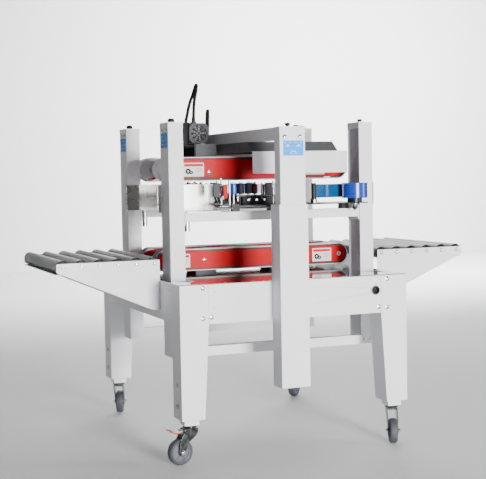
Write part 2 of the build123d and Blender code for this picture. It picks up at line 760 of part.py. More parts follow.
# ---------------------------------------------------------------- top head
with BuildPart(floor) as lift_arm:
    block(column_x0, column_x1, column_y0, column_y1, column_bottom, column_top)
    block(beam_x0, beam_x0 + beam_w, column_y1, beam_back, beam_bottom, column_top)
    block(beam_x0 + wall, beam_x0 + beam_w - wall, column_y1, beam_back - wall,
          beam_bottom + wall, column_top - wall, Mode.SUBTRACT)
    block(column_x0 + wall, column_x1 - wall, column_y0 + wall, column_y1 - wall, column_bottom,
          column_top - wall, Mode.SUBTRACT)
    upright(knob_x, knob_y, column_top - wall, column_top, knob_pin_r + run_fit, Mode.SUBTRACT)
    for x in (column_x0 + cap_bolt_inset, column_x1 - cap_bolt_inset):
        cross_rod(x, cap_bolt_z, column_y0 - column_front_gap - sheet, column_y0, bolt_r)
    for y in beam_gland_y:
        upright(beam_gland_x, y, column_top, column_top + beam_gland_h, beam_gland_r)
save(lift_arm, "lift_arm")

with BuildPart(floor) as height_knob:
    upright(knob_x, knob_y, column_top - knob_h, column_top + cut_over, knob_pin_r)
    upright(knob_x, knob_y, column_top + swivel_gap, column_top + knob_h, knob_r)
    fillet(height_knob.faces().sort_by(Axis.Z)[-1].edges(), knob_round)
save(height_knob, "height_knob")


def hood_section(inset):
    """Outline of the hood's sloped top, looking along X, moved inwards by a wall."""
    return [
        (-hood_shoulder + inset, skirt_top),
        (-hood_flat + inset / 2, beam_bottom - inset),
        (hood_flat - inset / 2, beam_bottom - inset),
        (hood_shoulder - inset, skirt_top),
    ]


with BuildPart(floor) as hood:
    with BuildSketch(side.offset(hood_x0)):
        with BuildLine():
            Polyline(hood_section(0), close=True)
        make_face()
    extrude(amount=hood_x1 - hood_x0)
    with BuildSketch(side.offset(hood_x0 + sheet)):
        with BuildLine():
            Polyline(hood_section(sheet), close=True)
        make_face()
    extrude(amount=hood_x1 - hood_x0 - 2 * sheet, mode=Mode.SUBTRACT)
    for s in (-1, 1):
        block(hood_x0, skirt_x1, s * hood_y, s * (hood_y - sheet), skirt_bottom, skirt_top)
        block(hood_x0, hood_x1, s * hood_y, s * (hood_shoulder - sheet), skirt_top - sheet, skirt_top)
        block(hood_x1 - 2 * sheet, skirt_x1, s * hood_y, s * (hood_y - skirt_lip), skirt_top - sheet, skirt_top)
save(hood, "hood")

motor_x1 = motor_x0 + motor_w
motor_mid = (motor_x0 + motor_x1) / 2
motor_top = motor_bottom + motor_w
bracket_y = motor_y0 + motor_len + gearbox_len
with BuildPart(floor) as top_motor:
    with BuildSketch(front.offset(-motor_y0)):
        with Locations((motor_mid, motor_bottom + motor_w / 2)):
            RectangleRounded(motor_w, motor_w, motor_round)
    extrude(amount=-motor_len)
    cross_rod(motor_mid, motor_bottom + motor_w / 2, motor_y0, motor_y0 + fan_recess, fan_recess_r,
              Mode.SUBTRACT)
    block(motor_x0, motor_x1, motor_y0 + motor_len, bracket_y, motor_bottom, motor_top)
    block(motor_x0 - bracket_t, motor_x0, motor_y0 + bracket_inset, bracket_y, bracket_bottom,
          motor_top + bracket_lip)
    block(motor_x0 - bracket_t, beam_x0, bracket_y, bracket_y + bracket_t, bracket_bottom,
          motor_top + bracket_lip)
    block(motor_x0, motor_x0 + terminal_w, *terminal_y, motor_top, motor_top + terminal_h)
    upright(gland_x, gland_y, motor_top - gland_foot, gland_z, gland_r)
    upright(return_x, return_y, motor_top, return_z, return_r)
save(top_motor, "top_motor")


def turn_radii(points):
    """Arc radii that use the turn share of the shorter run at each corner of a route."""
    radii = []
    for a, b, c in zip(points, points[1:], points[2:]):
        run_in = Vector(*b) - Vector(*a)
        run_out = Vector(*c) - Vector(*b)
        half_turn = radians(run_in.get_angle(run_out)) / 2
        radii.append(turn_share * min(run_in.length, run_out.length) / tan(half_turn))
    return radii


fan_lead = [
    (gland_x, gland_y, gland_z),
    (gland_x + 4, gland_y, fan_lead_mid),
    (gland_x + 17, gland_y, fan_lead_top),
    (gland_x + 15, fan_lead_back, fan_lead_top),
    (gland_x - 10, fan_lead_back, fan_lead_mid + 15),
    (return_x, return_y, return_z),
]
beam_gland_top = column_top + beam_gland_h
beam_lead = [
    (beam_gland_x, beam_gland_y[0], beam_gland_top),
    (beam_gland_x + 2, beam_gland_y[0], beam_lead_mid),
    (beam_gland_x + 6, beam_gland_y[0], beam_lead_top),
    (beam_gland_x + 6, beam_gland_y[1], beam_lead_top),
    (beam_gland_x + 4, beam_gland_y[1], beam_lead_mid),
    (beam_gland_x, beam_gland_y[1], beam_gland_top),
]
hood_lead_start = Vector(motor_x0, 140, 1212)
hood_lead_end = Vector(hood_x0, 142, 1188)
hood_lead = [
    tuple(hood_lead_start),
    tuple(hood_lead_start + Vector(28, 0, -7)),
    tuple(hood_lead_start + Vector(48, 0, -23)),
    tuple(hood_lead_end - Vector(38, 1, 3)),
    tuple(hood_lead_end),
]
with BuildPart(floor) as conduits:
    for route, radius in ((fan_lead, fan_lead_r), (beam_lead, beam_lead_r), (hood_lead, hood_lead_r)):
        with BuildLine(floor) as path:
            FilletPolyline(*route, radius=turn_radii(route))
        start = path.line
        length = sum(edge.length for edge in start.edges())
        print("lead", round(length, 1), "mm long, turns", [round(r, 1) for r in turn_radii(route)])
        with BuildSketch(Plane(start @ 0, z_dir=start % 0)):
            Circle(radius)
        sweep(path=path.line)
print("leads' volume", round(conduits.part.volume))
save(conduits, "conduits")
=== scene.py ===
"""Looks of the carton sealer machine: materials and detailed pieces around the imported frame, in metres."""

import json
from math import asin, cos, pi, radians, sin

import bmesh
import bpy
from mathutils import Matrix, Vector


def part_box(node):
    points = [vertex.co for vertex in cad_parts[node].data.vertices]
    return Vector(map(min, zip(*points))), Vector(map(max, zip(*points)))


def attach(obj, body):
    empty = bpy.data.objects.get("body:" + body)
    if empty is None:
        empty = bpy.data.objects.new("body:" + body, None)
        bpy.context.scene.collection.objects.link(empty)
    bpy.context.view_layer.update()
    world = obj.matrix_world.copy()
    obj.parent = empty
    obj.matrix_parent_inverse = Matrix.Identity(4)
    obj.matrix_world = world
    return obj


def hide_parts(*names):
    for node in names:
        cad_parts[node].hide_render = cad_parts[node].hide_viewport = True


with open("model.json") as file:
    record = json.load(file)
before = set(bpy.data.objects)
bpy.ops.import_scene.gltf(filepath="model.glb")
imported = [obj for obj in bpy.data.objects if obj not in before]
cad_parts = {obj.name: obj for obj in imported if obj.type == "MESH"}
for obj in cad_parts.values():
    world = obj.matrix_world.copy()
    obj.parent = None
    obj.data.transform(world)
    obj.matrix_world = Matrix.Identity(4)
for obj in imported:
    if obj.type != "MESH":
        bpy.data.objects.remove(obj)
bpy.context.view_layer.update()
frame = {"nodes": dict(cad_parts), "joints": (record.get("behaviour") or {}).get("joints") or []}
joints = {joint["name"]: joint for joint in frame["joints"]}
MID_Y = joints["lower_drive_turn"]["pos_m"][1]
SIDES = (("near", -1), ("far", 1))
# the hood's dark gray above HOOD_EDGE is painted shade on its slope
HOOD_EDGE = 1.1815              # where the hood's dark slope starts
# on the upper belt modules the dark tone above this lap is painted shade
TONE_LAP = 0.004               # belt edge to the change of tone on a module
MAST_INNER, MAST_OUTER = 0.244, 0.348
MAST_MIDDLE = (MAST_INNER + MAST_OUTER) / 2
MAST_X0, MAST_X1 = 0.382, 0.442
CAP_PROUD = 0.0006              # a thin cap or seam stands this far off its sheet
BELT_WIDTH = 0.050


# ------------------------------------------------------------------ materials
def link(tree, a, out, b, into):
    """Join one node's output to another's input."""
    tree.links.new(a.outputs[out], b.inputs[into])


def noise(tree, scale, detail=3.0, stretch=(1, 1, 1)):
    """A noise texture in the machine's own coordinates."""
    coords = tree.nodes.new("ShaderNodeTexCoord")
    mapping = tree.nodes.new("ShaderNodeMapping")
    mapping.inputs["Scale"].default_value = stretch
    texture = tree.nodes.new("ShaderNodeTexNoise")
    texture.inputs["Scale"].default_value = scale
    texture.inputs["Detail"].default_value = detail
    link(tree, coords, "Object", mapping, "Vector")
    link(tree, mapping, "Vector", texture, "Vector")
    return texture


def ramp(tree, source, out, low, high, start=0.35, end=0.65):
    """A colour ramp from low to high driven by a texture."""
    node = tree.nodes.new("ShaderNodeValToRGB")
    node.color_ramp.elements[0].position = start
    node.color_ramp.elements[1].position = end
    node.color_ramp.elements[0].color = (*low, 1) if len(low) == 3 else low
    node.color_ramp.elements[1].color = (*high, 1) if len(high) == 3 else high
    link(tree, source, out, node, "Fac")
    return node


def spread(tree, source, out, low, high):
    """Map a texture's value to the range low to high."""
    node = tree.nodes.new("ShaderNodeMapRange")
    node.inputs["From Min"].default_value = 0.3
    node.inputs["From Max"].default_value = 0.7
    node.inputs["To Min"].default_value = low
    node.inputs["To Max"].default_value = high
    link(tree, source, out, node, "Value")
    return node


def finish_material(name, color, dark, rough, metal=0.0, grain=900.0, grain_depth=0.03, stain=3.0,
                    stretch=(1, 1, 1), coat=0.0, spec=0.5, ior=1.5, transmission=0.0):
    """A surface with large tone variation, uneven roughness and a fine grain in its bump."""
    mat = bpy.data.materials.new(name)
    mat.use_nodes = True
    tree = mat.node_tree
    shader = tree.nodes["Principled BSDF"]
    shader.inputs["Metallic"].default_value = metal
    shader.inputs["Coat Weight"].default_value = coat
    shader.inputs["Coat Roughness"].default_value = 0.08
    shader.inputs["Specular IOR Level"].default_value = spec
    shader.inputs["IOR"].default_value = ior
    shader.inputs["Transmission Weight"].default_value = transmission
    tone = ramp(tree, noise(tree, stain, 4.0), "Fac", dark, color)
    link(tree, tone, "Color", shader, "Base Color")
    patches = spread(tree, noise(tree, stain * 9, 4.0, stretch), "Fac", rough[0], rough[1])
    link(tree, patches, "Result", shader, "Roughness")
    bump = tree.nodes.new("ShaderNodeBump")
    bump.inputs["Strength"].default_value = grain_depth
    bump.inputs["Distance"].default_value = 0.0006
    link(tree, noise(tree, grain, 2.0, stretch), "Fac", bump, "Height")
    link(tree, bump, "Normal", shader, "Normal")
    return mat


def label_material(name, color, dark, rough=(0.30, 0.38)):
    """Printed film with next to no sheen."""
    return finish_material(name, color, dark, rough, grain=500, grain_depth=0.02, spec=0.08)


POWDER = finish_material("powder_coat", (0.83, 0.83, 0.86), (0.80, 0.80, 0.83), (0.38, 0.50),
                         grain=700, grain_depth=0.25, stain=2.0)
RED = finish_material("red_enamel", (0.52, 0.003, 0.008), (0.44, 0.002, 0.005), (0.30, 0.42),
                      grain=260, grain_depth=0.04, spec=0.12)
MIRROR = finish_material("polished_stainless", (0.60, 0.60, 0.61), (0.56, 0.56, 0.57), (0.05, 0.11),
                         metal=1.0, grain=60, grain_depth=0.004, stretch=(1, 14, 1))
BRUSHED = finish_material("brushed_stainless", (0.60, 0.59, 0.58), (0.50, 0.49, 0.48), (0.24, 0.30),
                          metal=1.0, grain=300, grain_depth=0.01, stain=1.5)
ZINC = finish_material("bright_zinc", (0.70, 0.72, 0.74), (0.55, 0.57, 0.60), (0.22, 0.40),
                       metal=1.0, grain=240, grain_depth=0.1, stain=40)
CHROME = finish_material("chrome", (0.80, 0.81, 0.83), (0.70, 0.71, 0.73), (0.06, 0.14),
                         metal=1.0, grain=300, grain_depth=0.02, stain=30)
STEEL = finish_material("ground_steel", (0.50, 0.51, 0.53), (0.40, 0.41, 0.43), (0.24, 0.38),
                        metal=1.0, grain=300, grain_depth=0.1, stain=20)
BLACK = finish_material("black_paint", (0.014, 0.014, 0.016), (0.008, 0.008, 0.010), (0.30, 0.45),
                        grain=500, grain_depth=0.12, spec=0.3)
CAST = finish_material("cast_black", (0.012, 0.012, 0.014), (0.007, 0.007, 0.008), (0.48, 0.62),
                       grain=420, grain_depth=0.35, spec=0.25)
FAN_GRAY = finish_material("fan_cover_gray", (0.075, 0.075, 0.085), (0.060, 0.060, 0.070), (0.42, 0.54),
                           grain=520, grain_depth=0.25, spec=0.3)
FAN_PALE = finish_material("fan_blades", (0.42, 0.43, 0.46), (0.30, 0.31, 0.33), (0.35, 0.45),
                           grain=300, grain_depth=0.1, stain=30)
BELT = finish_material("belt_rubber", (0.012, 0.014, 0.014), (0.006, 0.008, 0.008), (0.45, 0.62),
                       grain=300, grain_depth=0.5)
BELT_EDGE = finish_material("belt_edge", (0.66, 0.75, 0.71), (0.58, 0.67, 0.63), (0.45, 0.60),
                            grain=300, grain_depth=0.3)
ROLLER = finish_material("roller_sleeve", (0.115, 0.122, 0.130), (0.090, 0.096, 0.102), (0.34, 0.48),
                         grain=260, grain_depth=0.1, stretch=(1, 0.1, 1), spec=0.35)
PLASTIC = finish_material("black_plastic", (0.010, 0.010, 0.011), (0.007, 0.007, 0.008), (0.42, 0.55),
                          grain=600, grain_depth=0.15, spec=0.25)
TYRE = finish_material("gray_tread", (0.072, 0.075, 0.088), (0.052, 0.055, 0.064), (0.50, 0.65),
                       grain=240, grain_depth=0.3, stain=30)
HUB = finish_material("gray_hub", (0.15, 0.155, 0.185), (0.11, 0.115, 0.135), (0.38, 0.5),
                      grain=300, grain_depth=0.2, stain=30)
PEDAL = finish_material("red_plastic", (0.62, 0.012, 0.012), (0.50, 0.008, 0.008), (0.30, 0.42),
                        grain=500, grain_depth=0.15)
TAPE = finish_material("wound_tape", (0.012, 0.050, 0.36), (0.009, 0.038, 0.28), (0.22, 0.32),
                       grain=60, grain_depth=0.10, stretch=(0.2, 0.2, 14), coat=0.25, spec=0.4)
CABLE = finish_material("cable_rubber", (0.008, 0.008, 0.009), (0.005, 0.005, 0.006), (0.50, 0.64),
                        grain=500, grain_depth=0.3, spec=0.2)
LABEL_WHITE = label_material("label_white", (0.80, 0.81, 0.82), (0.77, 0.78, 0.79), (0.45, 0.55))
LABEL_BLUE = label_material("label_blue", (0.035, 0.35, 0.98), (0.03, 0.32, 0.92), (0.45, 0.55))
LABEL_RED = label_material("label_red", (0.62, 0.02, 0.015), (0.56, 0.015, 0.012))
LABEL_BLACK = label_material("label_black", (0.015, 0.015, 0.015), (0.012, 0.012, 0.012))
LABEL_GRAY = label_material("label_gray", (0.30, 0.31, 0.33), (0.27, 0.28, 0.30))
LABEL_TAN = label_material("label_tan", (0.75, 0.50, 0.22), (0.70, 0.46, 0.20))
DARK_STEEL = finish_material("dark_steel", (0.26, 0.27, 0.28), (0.18, 0.185, 0.19), (0.24, 0.36),
                             metal=1.0, grain=300, grain_depth=0.1, stain=60)
ROD_STEEL = finish_material("rod_steel", (0.36, 0.37, 0.38), (0.26, 0.265, 0.27), (0.20, 0.32),
                            metal=1.0, grain=300, grain_depth=0.05, stain=60)
FORK_ZINC = finish_material("pressed_zinc", (0.20, 0.215, 0.215), (0.060, 0.066, 0.066), (0.20, 0.34),
                            metal=1.0, grain=240, grain_depth=0.1, stain=50)
CARD = finish_material("cardboard", (0.42, 0.30, 0.18), (0.36, 0.25, 0.15), (0.6, 0.75),
                       grain=300, grain_depth=0.3, stain=30)
WEB = finish_material("tape_web", (0.010, 0.085, 0.22), (0.008, 0.070, 0.18), (0.12, 0.24),
                      grain=30, grain_depth=0.3, stretch=(1, 1, 6), coat=0.7)
NAVY = finish_material("navy_rubber", (0.010, 0.015, 0.038), (0.007, 0.010, 0.026), (0.50, 0.62),
                       grain=400, grain_depth=0.2, spec=0.2)
RUST = finish_material("brown_roller", (0.13, 0.020, 0.014), (0.10, 0.015, 0.011), (0.48, 0.60),
                       grain=400, grain_depth=0.15, spec=0.2)
FLOOR = finish_material("studio_floor", (0.90, 0.90, 0.90), (0.89, 0.89, 0.89), (0.7, 0.8),
                        grain=40, grain_depth=0.02, stain=0.5)


def tone_and_shade_by_height(name, low, high, height):
    """One tone below a height and another above it; on the hood and the upper belt modules the dark upper
    tone is painted shade.
    """
    mat = bpy.data.materials.new(name)
    mat.use_nodes = True
    tree = mat.node_tree
    shader = tree.nodes["Principled BSDF"]
    coords = tree.nodes.new("ShaderNodeTexCoord")
    split = tree.nodes.new("ShaderNodeSeparateXYZ")
    above = tree.nodes.new("ShaderNodeMath")
    above.operation = "GREATER_THAN"
    above.inputs[1].default_value = height
    link(tree, coords, "Object", split, "Vector")
    link(tree, split, "Z", above, "Value")
    tone = ramp(tree, above, "Value", low, high, 0.49, 0.51)
    link(tree, tone, "Color", shader, "Base Color")
    patches = spread(tree, noise(tree, 20.0), "Fac", 0.30, 0.42)
    link(tree, patches, "Result", shader, "Roughness")
    shader.inputs["Specular IOR Level"].default_value = 0.2
    return mat


CAD_MATERIALS = {
    "base_panels": POWDER, "outer_legs": POWDER, "column_cover": POWDER, "conveyor_frames": POWDER,
    "inner_legs": POWDER, "lift_arm": POWDER, "near_side_frame": POWDER,
    "far_side_frame": POWDER, "near_side_bar": POWDER, "far_side_bar": POWDER,
    "deck_plate": MIRROR, "near_infeed_guide": BRUSHED, "far_infeed_guide": BRUSHED,
    "fasteners": CHROME, "power_inlet": PLASTIC, "width_rails": STEEL,
    "lower_belts": BELT, "upper_belts": BELT,
    # hood: white powder coat below HOOD_EDGE, and above it on the slope a dark gray that is painted shade
    "hood": tone_and_shade_by_height("hood_paint", (0.80, 0.80, 0.83), (0.115, 0.115, 0.120), HOOD_EDGE),
    # upper belt modules: red paint below the belts' top, and on the brackets above it a dark gray that is
    # painted shade
    "upper_belt_modules": tone_and_shade_by_height("module_paint", (0.50, 0.004, 0.009), (0.040, 0.040, 0.044),
                                            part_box("upper_belts")[1].z - TONE_LAP),
    "lower_belt_modules": tone_and_shade_by_height("lower_module_paint", (0.10, 0.10, 0.11), (0.54, 0.006, 0.012),
                                            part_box("lower_belts")[0].z + TONE_LAP),
    "lower_motor": CAST, "top_motor": CAST, "conduits": CABLE, "height_knob": PLASTIC,
    "near_lift_screw": PLASTIC, "far_lift_screw": PLASTIC, "brake_pedal": PEDAL,
    "near_tape_plate": BLACK, "far_tape_plate": BLACK, "near_tape_roll": TAPE, "far_tape_roll": TAPE,
}
for node_name in frame["nodes"]:
    if node_name.endswith("_shaft"):
        CAD_MATERIALS[node_name] = STEEL
    elif "_roller_" in node_name:
        CAD_MATERIALS[node_name] = ROLLER
    elif node_name.endswith("_fork"):
        CAD_MATERIALS[node_name] = ZINC
    elif node_name.endswith("_wheel"):
        CAD_MATERIALS[node_name] = TYRE
    elif node_name.endswith("_arm") and node_name != "lift_arm":
        CAD_MATERIALS[node_name] = RED


def soften(obj, width, angle=40.0, segments=2):
    """Round an object's hard edges with modifiers, which leave its own mesh as it is."""
    weld = obj.modifiers.new("weld", "WELD")
    weld.merge_threshold = 0.00001
    bevel = obj.modifiers.new("bevel", "BEVEL")
    bevel.width = width
    bevel.segments = segments
    bevel.limit_method = "ANGLE"
    bevel.angle_limit = radians(angle)
    bevel.use_clamp_overlap = True
    bevel.harden_normals = True


SOFT_EDGES = {
    "base_panels": 0.0012, "outer_legs": 0.0022, "column_cover": 0.0022, "conveyor_frames": 0.0009,
    "inner_legs": 0.002, "lift_arm": 0.0024, "hood": 0.0009, "near_side_frame": 0.0014,
    "far_side_frame": 0.0014, "near_side_bar": 0.002, "far_side_bar": 0.002, "deck_plate": 0.0012,
}
for node_name, node in frame["nodes"].items():
    node.data.materials.clear()
    node.data.materials.append(CAD_MATERIALS[node_name])
    if node_name in SOFT_EDGES:
        soften(node, SOFT_EDGES[node_name])


# ------------------------------------------------------------------ building pieces
class Shape:
    """Collects solids in one mesh, in the machine's frame."""

    def __init__(self):
        self.bm = bmesh.new()

    def box(self, low, high):
        """A box between two corners."""
        low, high = Vector(map(min, low, high)), Vector(map(max, low, high))
        grown = bmesh.ops.create_cube(self.bm, size=1)
        place = Matrix.Translation((low + high) / 2) @ Matrix.Diagonal((*(high - low), 1))
        bmesh.ops.transform(self.bm, matrix=place, verts=grown["verts"])

    def lathe(self, profile, place, axis, sides=40):
        """Turn a closed profile of (radius, height) about an axis through a place."""
        axis = Vector(axis).normalized()
        u = axis.orthogonal().normalized()
        v = axis.cross(u)
        rings = []
        for radius, height in profile:
            middle = Vector(place) + axis * height
            if radius <= 0:
                rings.append([self.bm.verts.new(middle)])
            else:
                rings.append([self.bm.verts.new(middle + radius * (cos(2 * pi * k / sides) * u
                                                                   + sin(2 * pi * k / sides) * v))
                              for k in range(sides)])
        closed = profile[0][0] > 0 and profile[-1][0] > 0
        pairs = list(zip(rings, rings[1:])) + ([(rings[-1], rings[0])] if closed else [])
        for a, b in pairs:
            for k in range(sides):
                corners = [a[k % len(a)], a[(k + 1) % len(a)], b[(k + 1) % len(b)], b[k % len(b)]]
                unique = list(dict.fromkeys(corners))
                if len(unique) > 2:
                    self.bm.faces.new(unique)

    def disc(self, place, axis, radius, height, sides=40):
        """A flat round plate."""
        self.lathe([(0, 0), (radius, 0), (radius, height), (0, height)], place, axis, sides)

    def rod(self, a, b, radius, chamfer=0.0, sides=32):
        """A round bar from one point to another."""
        run = Vector(b) - Vector(a)
        length = run.length
        profile = [(0, 0), (radius - chamfer, 0), (radius, chamfer), (radius, length - chamfer),
                   (radius - chamfer, length), (0, length)]
        if not chamfer:
            profile = [(0, 0), (radius, 0), (radius, length), (0, length)]
        self.lathe(profile, a, run, sides)

    def prism(self, outline, origin, u, v, depth):
        """Push an outline, given along u and v, along their normal by depth."""
        u, v = Vector(u), Vector(v)
        normal = u.cross(v).normalized()
        low = [self.bm.verts.new(Vector(origin) + x * u + y * v) for x, y in outline]
        high = [self.bm.verts.new(w.co + normal * depth) for w in low]
        self.bm.faces.new(low[::-1])
        self.bm.faces.new(high)
        for k in range(len(low)):
            j = (k + 1) % len(low)
            self.bm.faces.new((low[k], low[j], high[j], high[k]))

    def hexagon(self, place, axis, across, height):
        """A hexagonal head or nut, with its flats chamfered by a turned crown."""
        axis = Vector(axis).normalized()
        u = axis.orthogonal().normalized()
        corner = across / 2 / cos(pi / 6)
        outline = [(corner * cos(pi / 3 * k), corner * sin(pi / 3 * k)) for k in range(6)]
        self.prism(outline, place, u, axis.cross(u), height * 0.86)
        self.lathe([(0, height * 0.8), (corner * 0.93, height * 0.86), (across * 0.44, height), (0, height)],
                   place, axis, 24)

    def dome(self, place, axis, radius, height, socket=True):
        """A button head screw with its washer face and a drive recess."""
        profile = [(0, 0), (radius, 0), (radius, height * 0.22)]
        for k in range(1, 7):
            a = pi / 2 * k / 7
            profile.append((radius * (0.42 + 0.58 * cos(a)), height * (0.22 + 0.78 * sin(a))))
        if socket:
            profile += [(radius * 0.40, height), (radius * 0.38, height * 0.45), (0, height * 0.40)]
        else:
            profile += [(0, height)]
        self.lathe(profile, place, axis, 28)

    def piece(self, name, body, material, edge=0.0, replaces=(), angle=35.0):
        """Turn what was collected into a piece that rides on a body."""
        bmesh.ops.recalc_face_normals(self.bm, faces=self.bm.faces)
        for face in self.bm.faces:
            face.smooth = True
        for e in self.bm.edges:
            e.smooth = len(e.link_faces) == 2 and e.calc_face_angle(pi) < radians(angle)
        mesh = bpy.data.meshes.new(name)
        self.bm.to_mesh(mesh)
        self.bm.free()
        obj = bpy.data.objects.new(name, mesh)
        bpy.context.scene.collection.objects.link(obj)
        mesh.materials.append(material)
        if edge:
            soften(obj, edge, angle)
        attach(obj, body)
        if replaces:
            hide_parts(*replaces)
        return obj


def rounded(x0, x1, y0, y1, radius, steps=5):
    """Outline of a rectangle with round corners."""
    centres = ((x1 - radius, y0 + radius, -90), (x1 - radius, y1 - radius, 0),
               (x0 + radius, y1 - radius, 90), (x0 + radius, y0 + radius, 180))
    return [(cx + radius * cos(radians(a0 + 90 * k / steps)), cy + radius * sin(radians(a0 + 90 * k / steps)))
            for cx, cy, a0 in centres for k in range(steps + 1)]


def slot_outline(half, radius, steps=20):
    """Outline of a long shape with half-round ends."""
    ends = ((half - radius, -90), (radius - half, 90))
    return [(cx + radius * cos(radians(a0 + 180 * k / steps)), radius * sin(radians(a0 + 180 * k / steps)))
            for cx, a0 in ends for k in range(steps + 1)]


def centre(node):
    """Middle of a CAD node's box."""
    low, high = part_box(node)
    return (low + high) / 2


def at_y(distance):
    """Row Y of a distance from the machine's middle plane."""
    return MID_Y + distance


X, Y, Z = Vector((1, 0, 0)), Vector((0, 1, 0)), Vector((0, 0, 1))


# ------------------------------------------------------------------ base and conveyors
def fastener_heads():
    """Button heads and small pan heads on the front and back panels."""
    low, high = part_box("fasteners")
    heads, washers = Shape(), Shape()
    big = [(-0.387, 0.668), (-0.388, 0.553), (-0.354, 0.557), (0.392, 0.665), (0.392, 0.552), (0.355, 0.555)]
    small = [(-0.342, 0.651), (-0.344, 0.593), (0.344, 0.651), (0.344, 0.591)]
    for s, face in ((-1, low.y + 0.004), (1, high.y - 0.004)):
        for x, z in big:
            washers.lathe([(0, 0), (0.0095, 0), (0.0095, 0.0011), (0.0090, 0.0014), (0, 0.0014)],
                          (x, face, z), s * Y)
            heads.dome((x, face + s * 0.0012, z), s * Y, 0.0072, 0.0040)
        for x, z in small:
            heads.dome((x, face, z), s * Y, 0.0038, 0.0024)
    heads.piece("panel_bolt_heads", "base", CHROME, replaces=("fasteners",))
    washers.piece("panel_bolt_washers", "base", ZINC)


def end_screws():
    """Small screws on the two end plates and bolts on the legs' outer faces."""
    low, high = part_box("base_panels")
    screws = Shape()
    for s, x in ((-1, low.x), (1, high.x)):
        for y in (-0.43, 0.43):
            screws.dome((x, at_y(y), 0.655), s * X, 0.0042, 0.0024)
            screws.dome((x, at_y(y), 0.560), s * X, 0.0042, 0.0024)
    screws.piece("end_plate_screws", "base", ZINC)
    leg_low, leg_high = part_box("outer_legs")
    bolts = Shape()
    for sx, x in ((-1, leg_low.x), (1, leg_high.x)):
        for y in (-0.507, 0.507):
            for z in (0.220, 0.300):
                bolts.disc((x, at_y(y), z), sx * X, 0.011, 0.0016)
                bolts.hexagon((x + sx * 0.0014, at_y(y), z), sx * X, 0.013, 0.0055)
    bolts.piece("leg_clamp_bolts", "base", ZINC)


def power_socket():
    """The round mains inlet on the front panel."""
    low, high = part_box("power_inlet")
    x, z = (low.x + high.x) / 2, (low.z + high.z) / 2
    face = low.y + 0.003
    ring, core, pins = Shape(), Shape(), Shape()
    ring.lathe([(0.0145, 0.0), (0.0190, 0.0), (0.0190, 0.0018), (0.0178, 0.0030), (0.0156, 0.0030),
                (0.0145, 0.0022)], (x, face, z), -Y, 48)
    core.lathe([(0, -0.026), (0.0178, -0.026), (0.0178, 0), (0.0144, 0.0), (0.0144, 0.0036),
                (0.0122, 0.0036), (0.0112, -0.012), (0, -0.012)], (x, face, z), -Y, 48)
    for a in (90, 210, 330):
        foot = Vector((x + 0.006 * cos(radians(a)), face + 0.012, z + 0.006 * sin(radians(a))))
        pins.rod(foot, foot - 0.010 * Y, 0.0015, 0.0004, 16)
    ring.piece("inlet_ring", "base", DARK_STEEL)
    core.piece("inlet_core", "base", PLASTIC, replaces=("power_inlet",))
    pins.piece("inlet_pins", "base", CHROME)


def conveyor_details():
    """Axle bolts, washers and black bearing caps on both conveyors."""
    low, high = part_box("conveyor_frames")
    bolts, washers, sockets = Shape(), Shape(), Shape()
    for joint_name, joint in joints.items():
        if "_roller_" not in joint_name:
            continue
        x, _, z = joint["pos_m"]
        node = joint_name.removesuffix("_spin")
        roller_low, roller_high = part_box(node)
        radius = (roller_high.z - roller_low.z) / 2
        for s, y in ((-1, low.y + 0.004), (1, high.y - 0.004)):
            washers.lathe([(0, 0), (0.0080, 0), (0.0080, 0.0012), (0.0076, 0.0015), (0, 0.0015)],
                          (x, y, z), s * Y)
            bolts.hexagon((x, y + s * 0.0012, z), s * Y, 0.0115, 0.0052)
            sockets.lathe([(0, -0.0035), (0.0100, -0.0035), (0.0100, -0.0090), (0, -0.0090)],
                          (x, y, z + 0.0075), s * Y, 28)
        caps = Shape()
        for s, y in ((-1, roller_low.y), (1, roller_high.y)):
            caps.lathe([(0.0065, 0.0), (0.016, 0.0), (0.018, -0.002), (0.021, -0.002), (0.0235, 0.0),
                        (radius + 0.0003, 0.001), (radius + 0.0003, 0.007), (radius - 0.001, 0.0085),
                        (0.0065, 0.0085)], (x, y - s * 0.0085, z), s * Y, 48)
        caps.piece(f"{node}_bearing_caps", node, PLASTIC)
    bolts.piece("roller_axle_bolts", "base", ZINC)
    washers.piece("roller_axle_washers", "base", DARK_STEEL)
    sockets.piece("roller_axle_sockets", "base", PLASTIC)


# ------------------------------------------------------------------ belts
def belt_strip(name, half, radius, inner, y0, y1, z, body, material, replaces=()):
    """One endless layer of a belt between two radii."""
    outer_line = slot_outline(half, radius)
    inner_line = slot_outline(half - (radius - inner), inner)
    strip = Shape()
    rows = [[strip.bm.verts.new((x, y, z + up)) for x, up in line]
            for y, line in ((y0, outer_line), (y1, outer_line), (y1, inner_line), (y0, inner_line))]
    count = len(outer_line)
    for a, b in zip(rows, rows[1:] + rows[:1]):
        for k in range(count):
            j = (k + 1) % count
            strip.bm.faces.new((a[k], a[j], b[j], b[k]))
    return strip.piece(name, body, material, replaces=replaces)


def belt_layers(level, body):
    """Core, pale edge band and dark running face of the two belts at one level."""
    low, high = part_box(f"{level}_belts")
    half, radius = (high.x - low.x) / 2, (high.z - low.z) / 2
    z = (high.z + low.z) / 2
    reach = (high.y - low.y) / 2
    for name, s in SIDES:
        y0, y1 = sorted((at_y(s * reach), at_y(s * (reach - BELT_WIDTH))))
        layers = (("core", radius - 0.0038, radius - 0.0056, BELT, 0.0),
                  ("band", radius - 0.0005, radius - 0.0038, BELT_EDGE, 0.0008),
                  ("face", radius, radius - 0.0005, BELT, 0.0))
        for layer, outer, inner, material, proud in layers:
            replaced = (f"{level}_belts",) if layer == "core" and s < 0 else ()
            belt_strip(f"{name}_{level}_belt_{layer}", half - (radius - outer), outer, inner,
                       y0 - proud, y1 + proud, z, body, material, replaced)


